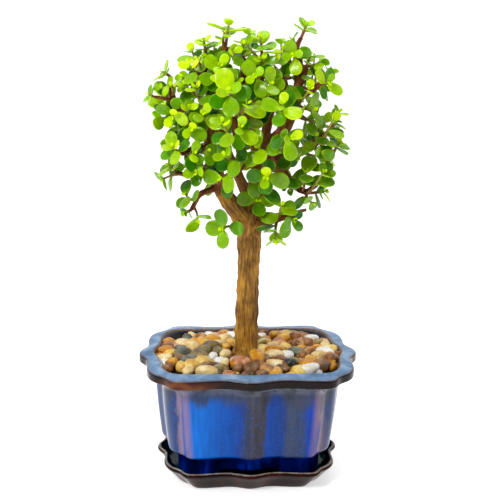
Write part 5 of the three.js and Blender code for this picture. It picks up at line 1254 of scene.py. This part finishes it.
def make_grit():
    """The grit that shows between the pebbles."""
    shares = np.linspace(1, 0.02, 34)
    top = []
    for share in shares:
        ring, _ = lobed_loft([inside_row(GRIT_TOP, GAP, share)])
        ring = ring[0]
        ring[:, 2] = [pebble_height(x, y) + 1.1 * noise.fractal(Vector((x * 0.5, y * 0.5, 0)), 0.7, 2, 4)
                      for x, y, _ in ring]
        top.append(ring)
    below, _ = lobed_loft([inside_row(SOIL_EDGE + GAP, GAP, share) for share in (0.02, 0.5, 1)])
    below[0][:, 2], below[1][:, 2] = SOIL_TOP + GAP, SOIL_EDGE + GAP + SOIL_MOUND * 0.75
    rings = np.concatenate([below, np.array(top)])
    return new_mesh("grit_bed", loft_points(rings), loft_faces(len(rings), rings.shape[1]), [SOIL])


STONES = {
    "amber": dict(colours=[(156, 88, 0), (216, 144, 10), (250, 206, 84)], glow=0.15, rough=0.16),
    "yellow": dict(colours=[(206, 146, 40), (244, 204, 98), (255, 240, 170)], glow=0.1, rough=0.2),
    "white": dict(colours=[(226, 220, 206), (252, 250, 244), (255, 255, 254)], glow=0.1, rough=0.2),
    "cream": dict(colours=[(204, 160, 90), (246, 218, 150), (255, 246, 206)], rough=0.22),
    "tan": dict(colours=[(100, 56, 14), (176, 114, 50), (222, 172, 106)], bands=55, rough=0.24),
    "olive": dict(colours=[(70, 60, 28), (126, 108, 60), (182, 156, 92)], rough=0.2),
    "grey": dict(colours=[(62, 66, 56), (104, 106, 92), (160, 158, 138)], speck=(44, 40, 34), rough=0.36),
    "black": dict(colours=[(8, 14, 14), (24, 34, 34), (58, 66, 60)], rough=0.22),
    "brown": dict(colours=[(64, 40, 20), (124, 84, 48), (176, 130, 84)], speck=(206, 164, 116), rough=0.32),
    "pink": dict(colours=[(168, 92, 50), (222, 152, 104), (250, 214, 180)], bands=40, rough=0.34),
}
STONES = {kind: stone_look(kind + "_stone", **settings) for kind, settings in STONES.items()}
STONE_MIX = ["amber", "yellow", "tan", "cream", "white", "olive", "amber", "yellow", "brown", "tan",
             "olive", "cream", "white", "pink", "grey", "yellow", "tan", "cream", "amber"]
LARGE_KIND = {"pebble_pink": "pink", "pebble_amber": "amber", "pebble_cream": "cream",
              "pebble_white": "white", "pebble_black": "black", "pebble_honey": "amber",
              "pebble_tan": "tan", "pebble_grey": "grey"}


def round_stone(detail=3):
    """Points and faces of a finely divided round stone."""
    made = bmesh.new()
    bmesh.ops.create_icosphere(made, subdivisions=detail, radius=1)
    points = np.array([v.co[:] for v in made.verts])
    faces = [tuple(v.index for v in f.verts) for f in made.faces]
    made.free()
    return points, faces


STONE_POINTS, STONE_FACES = round_stone()
SMALL_POINTS, SMALL_FACES = round_stone(2)


def stone_skin(x, y, z, half, turn, seed, points):
    """A water-worn stone: a flattened round with a few broad facets and hollows."""
    shift = Vector((seed * 3.7, seed * 1.3, seed * 0.9))
    made = np.empty_like(points)
    for i, p in enumerate(points):
        lump = noise.noise(Vector(p * 0.9) + shift) * 0.26 + noise.noise(Vector(p * 2.3) + shift) * 0.07
        made[i] = p * (0.97 + lump)
    made = np.sign(made) * np.abs(made) ** 0.92
    made = np.clip(made, -1.04, 1.04) * half
    rock = made + vec(*shift) * 9
    tilt = 0.8 * (chance(seed + 5) - 0.5)
    c, s = math.cos(tilt), math.sin(tilt)
    made = np.column_stack([made[:, 0] * c - made[:, 2] * s, made[:, 1], made[:, 0] * s + made[:, 2] * c])
    c, s = math.cos(turn), math.sin(turn)
    made = np.column_stack([made[:, 0] * c - made[:, 1] * s, made[:, 0] * s + made[:, 1] * c, made[:, 2]])
    return made + vec(x, y, z), rock * MM


def scatter_pebbles():
    """The bed's pebbles: centre, half sizes and turn of each."""
    pebbles = []
    row_pitch = PEBBLE_PITCH * HEXAGON
    rows, columns = math.floor(INNER_DEPTH / row_pitch), math.floor(INNER_WIDTH / PEBBLE_PITCH)
    for r in range(-rows, rows + 1):
        for c in range(-columns, columns + 1):
            seed = 500 + (r + rows) * 53 + (c + columns) * 3
            x = (c + (0.5 if r % 2 else 0)) * PEBBLE_PITCH + PEBBLE_STRAY * (chance(seed) - 0.5)
            y = r * row_pitch + PEBBLE_STRAY * (chance(seed + 1) - 0.5)
            if math.hypot(x / (INNER_WIDTH - 4), y / (INNER_DEPTH - 3)) > 1.12:
                continue
            size = PEBBLE_RADIUS * (0.76 + 0.56 * chance(seed + 2) ** 1.3)
            half = vec(size, size * (0.6 + 0.28 * chance(seed + 3)), size * (0.5 + 0.22 * chance(seed + 4)))
            z = pebble_height(x, y) + 2.6 + 2.4 * chance(seed + 5)
            pebbles.append((x, y, z, half, chance(seed + 6) * math.pi, seed))
    return pebbles


def keep_inside(x, y, reach):
    """Moves a stone in from the wall until it has that much room."""
    for _ in range(8):
        close = SOFT_RING * [INNER_WIDTH, INNER_DEPTH] - [x, y]
        gaps = np.linalg.norm(close, axis=1)
        nearest = int(np.argmin(gaps))
        if gaps[nearest] >= reach:
            break
        scale = 1 - (reach - gaps[nearest]) / math.hypot(x, y)
        x, y = x * scale, y * scale
    return x, y


def make_pebbles():
    large = {}
    for name, (wide, deep, half, turn) in LARGE_PEBBLES.items():
        x, y = wide * INNER_WIDTH, deep * INNER_DEPTH
        z = pebble_height(x, y) + half[2] * 0.9 + 1.6
        skin, rock = stone_skin(x, y, z, vec(*half), math.radians(turn), len(large) * 7 + 3, STONE_POINTS)
        piece = new_mesh(name + "_stone", skin, STONE_FACES, [STONES[LARGE_KIND[name]]], {"rock": rock})
        stands_for(piece, name, name)
        large[name] = (x, y, max(half))
    heaps = {kind: ([], [], []) for kind in STONES}

    def add(kind, made, faces):
        points, rocks, heap_faces = heaps[kind]
        start = sum(len(p) for p in points)
        points.append(made[0])
        rocks.append(made[1])
        heap_faces.extend(tuple(start + k for k in face) for face in faces)

    for x, y, z, half, turn, seed in scatter_pebbles():
        x, y = keep_inside(x, y, half[0] * 0.8)
        if math.hypot(x - TRUNK_X, y) < TRUNK_RADIUS * 1.2 + half[1] * 0.6:
            continue
        if any(math.hypot(x - a, y - b) < reach * 0.62 + half[1] * 0.5 for a, b, reach in large.values()):
            z -= 1.2
        kind = STONE_MIX[int(chance(seed + 9) * len(STONE_MIX))]
        add(kind, stone_skin(x, y, z, half, turn, seed % 97, STONE_POINTS), STONE_FACES)
    for seed in range(900, 1010):
        angle, reach = chance(seed) * 2 * math.pi, math.sqrt(chance(seed + 300))
        x, y = reach * (INNER_WIDTH - 3) * math.cos(angle), reach * (INNER_DEPTH - 3) * math.sin(angle)
        size = 1.6 + 1.8 * chance(seed + 600)
        if math.hypot(x - TRUNK_X, y) < TRUNK_RADIUS * 1.25 + size:
            continue
        half = vec(size, size * (0.7 + 0.2 * chance(seed + 1)), size * 0.65)
        kind = STONE_MIX[int(chance(seed + 17) * len(STONE_MIX))]
        z = pebble_height(x, y) + 1.6 + 1.4 * chance(seed + 2)
        add(kind, stone_skin(x, y, z, half, chance(seed + 3) * math.pi, seed % 89, SMALL_POINTS), SMALL_FACES)
    for kind, (points, rocks, faces) in heaps.items():
        if points:
            piece = new_mesh("pebbles_" + kind, np.vstack(points), faces, [STONES[kind]],
                             {"rock": np.vstack(rocks)})
            stands_for(piece, "pebble_mix", "pebble_bed")


stands_for(make_grit(), "soil", "pebble_bed")
make_pebbles()


# ---------------------------------------------------------------- floor, light and camera

FLOOR_SIZE, FLOOR_STEPS = 16000, 8


def make_floor():
    ticks = np.linspace(-FLOOR_SIZE / 2, FLOOR_SIZE / 2, FLOOR_STEPS + 1)
    points = [(x, y, 0) for y in ticks for x in ticks]
    wide = FLOOR_STEPS + 1
    faces = [(r * wide + c, r * wide + c + 1, (r + 1) * wide + c + 1, (r + 1) * wide + c)
             for r in range(FLOOR_STEPS) for c in range(FLOOR_STEPS)]
    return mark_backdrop(new_mesh("floor", points, faces, [floor_look()]))


def add_softbox(name, place, target, width, height, power):
    light = bpy.data.lights.new(name, "AREA")
    light.shape, light.size, light.size_y = "RECTANGLE", width, height
    light.energy = power
    obj = bpy.data.objects.new(name, light)
    bpy.context.scene.collection.objects.link(obj)
    obj.location = place
    obj.rotation_euler = (Vector(target) - Vector(place)).to_track_quat("-Z", "Y").to_euler()
    return obj


def make_world():
    """A white studio: bright all round and above, dimmer in front, so that glaze has something to reflect."""
    world = bpy.data.worlds.new("studio")
    bpy.context.scene.world = world
    world.use_nodes = True
    tree = world.node_tree
    tree.nodes.clear()
    out = tree.nodes.new("ShaderNodeOutputWorld")
    shade = tree.nodes.new("ShaderNodeBackground")
    white = tree.nodes.new("ShaderNodeBackground")
    white.inputs[0].default_value, white.inputs[1].default_value = (1, 1, 1, 1), 1.02
    path, mix = tree.nodes.new("ShaderNodeLightPath"), tree.nodes.new("ShaderNodeMixShader")
    place, parts = tree.nodes.new("ShaderNodeTexCoord"), tree.nodes.new("ShaderNodeSeparateXYZ")
    ramp = tree.nodes.new("ShaderNodeMapRange")
    tree.links.new(place.outputs["Generated"], parts.inputs[0])
    tree.links.new(parts.outputs[1], ramp.inputs[0])
    for index, value in ((1, -0.9), (2, 0.4), (3, 0.1), (4, 0.75)):
        ramp.inputs[index].default_value = value
    tree.links.new(ramp.outputs[0], shade.inputs[1])
    shade.inputs[0].default_value = (1, 1, 1, 1)
    tree.links.new(path.outputs["Is Camera Ray"], mix.inputs[0])
    tree.links.new(shade.outputs[0], mix.inputs[1])
    tree.links.new(white.outputs[0], mix.inputs[2])
    tree.links.new(mix.outputs[0], out.inputs[0])


def make_camera():
    azimuth, elevation, roll = math.radians(-3.8), math.radians(13.7), math.radians(0.85)
    distance, look_at = 0.786, Vector((0.0009, 0, 0.1557))
    level = math.cos(elevation)
    back = Vector((math.sin(azimuth) * level, -math.cos(azimuth) * level, math.sin(elevation)))
    right = Vector((0, 0, 1)).cross(back).normalized()
    up = back.cross(right)
    across = math.cos(roll) * right + math.sin(roll) * up
    above = -math.sin(roll) * right + math.cos(roll) * up
    camera = bpy.data.cameras.new("camera")
    camera.sensor_width, camera.lens = 36, 82.54
    camera.clip_start, camera.clip_end = 0.05, 20
    obj = bpy.data.objects.new("camera", camera)
    bpy.context.scene.collection.objects.link(obj)
    place = look_at + back * distance
    obj.matrix_world = Matrix([(across[i], above[i], back[i], place[i]) for i in range(3)] + [(0, 0, 0, 1)])
    bpy.context.scene.camera = obj


make_floor()
make_world()
add_softbox("key", (-0.55, -0.75, 0.85), (0, 0, 0.2), 0.26, 0.26, 7)
add_softbox("left_strip", (-0.95, -0.42, 0.3), (0, 0, 0.1), 0.1, 0.8, 1.6)
add_softbox("right_strip", (0.95, -0.42, 0.3), (0, 0, 0.1), 0.1, 0.8, 1.6)
add_softbox("top", (0.0, 0.15, 1.1), (0, 0, 0.2), 0.6, 0.6, 4)
make_camera()
bpy.context.scene.view_settings.view_transform = "Standard"
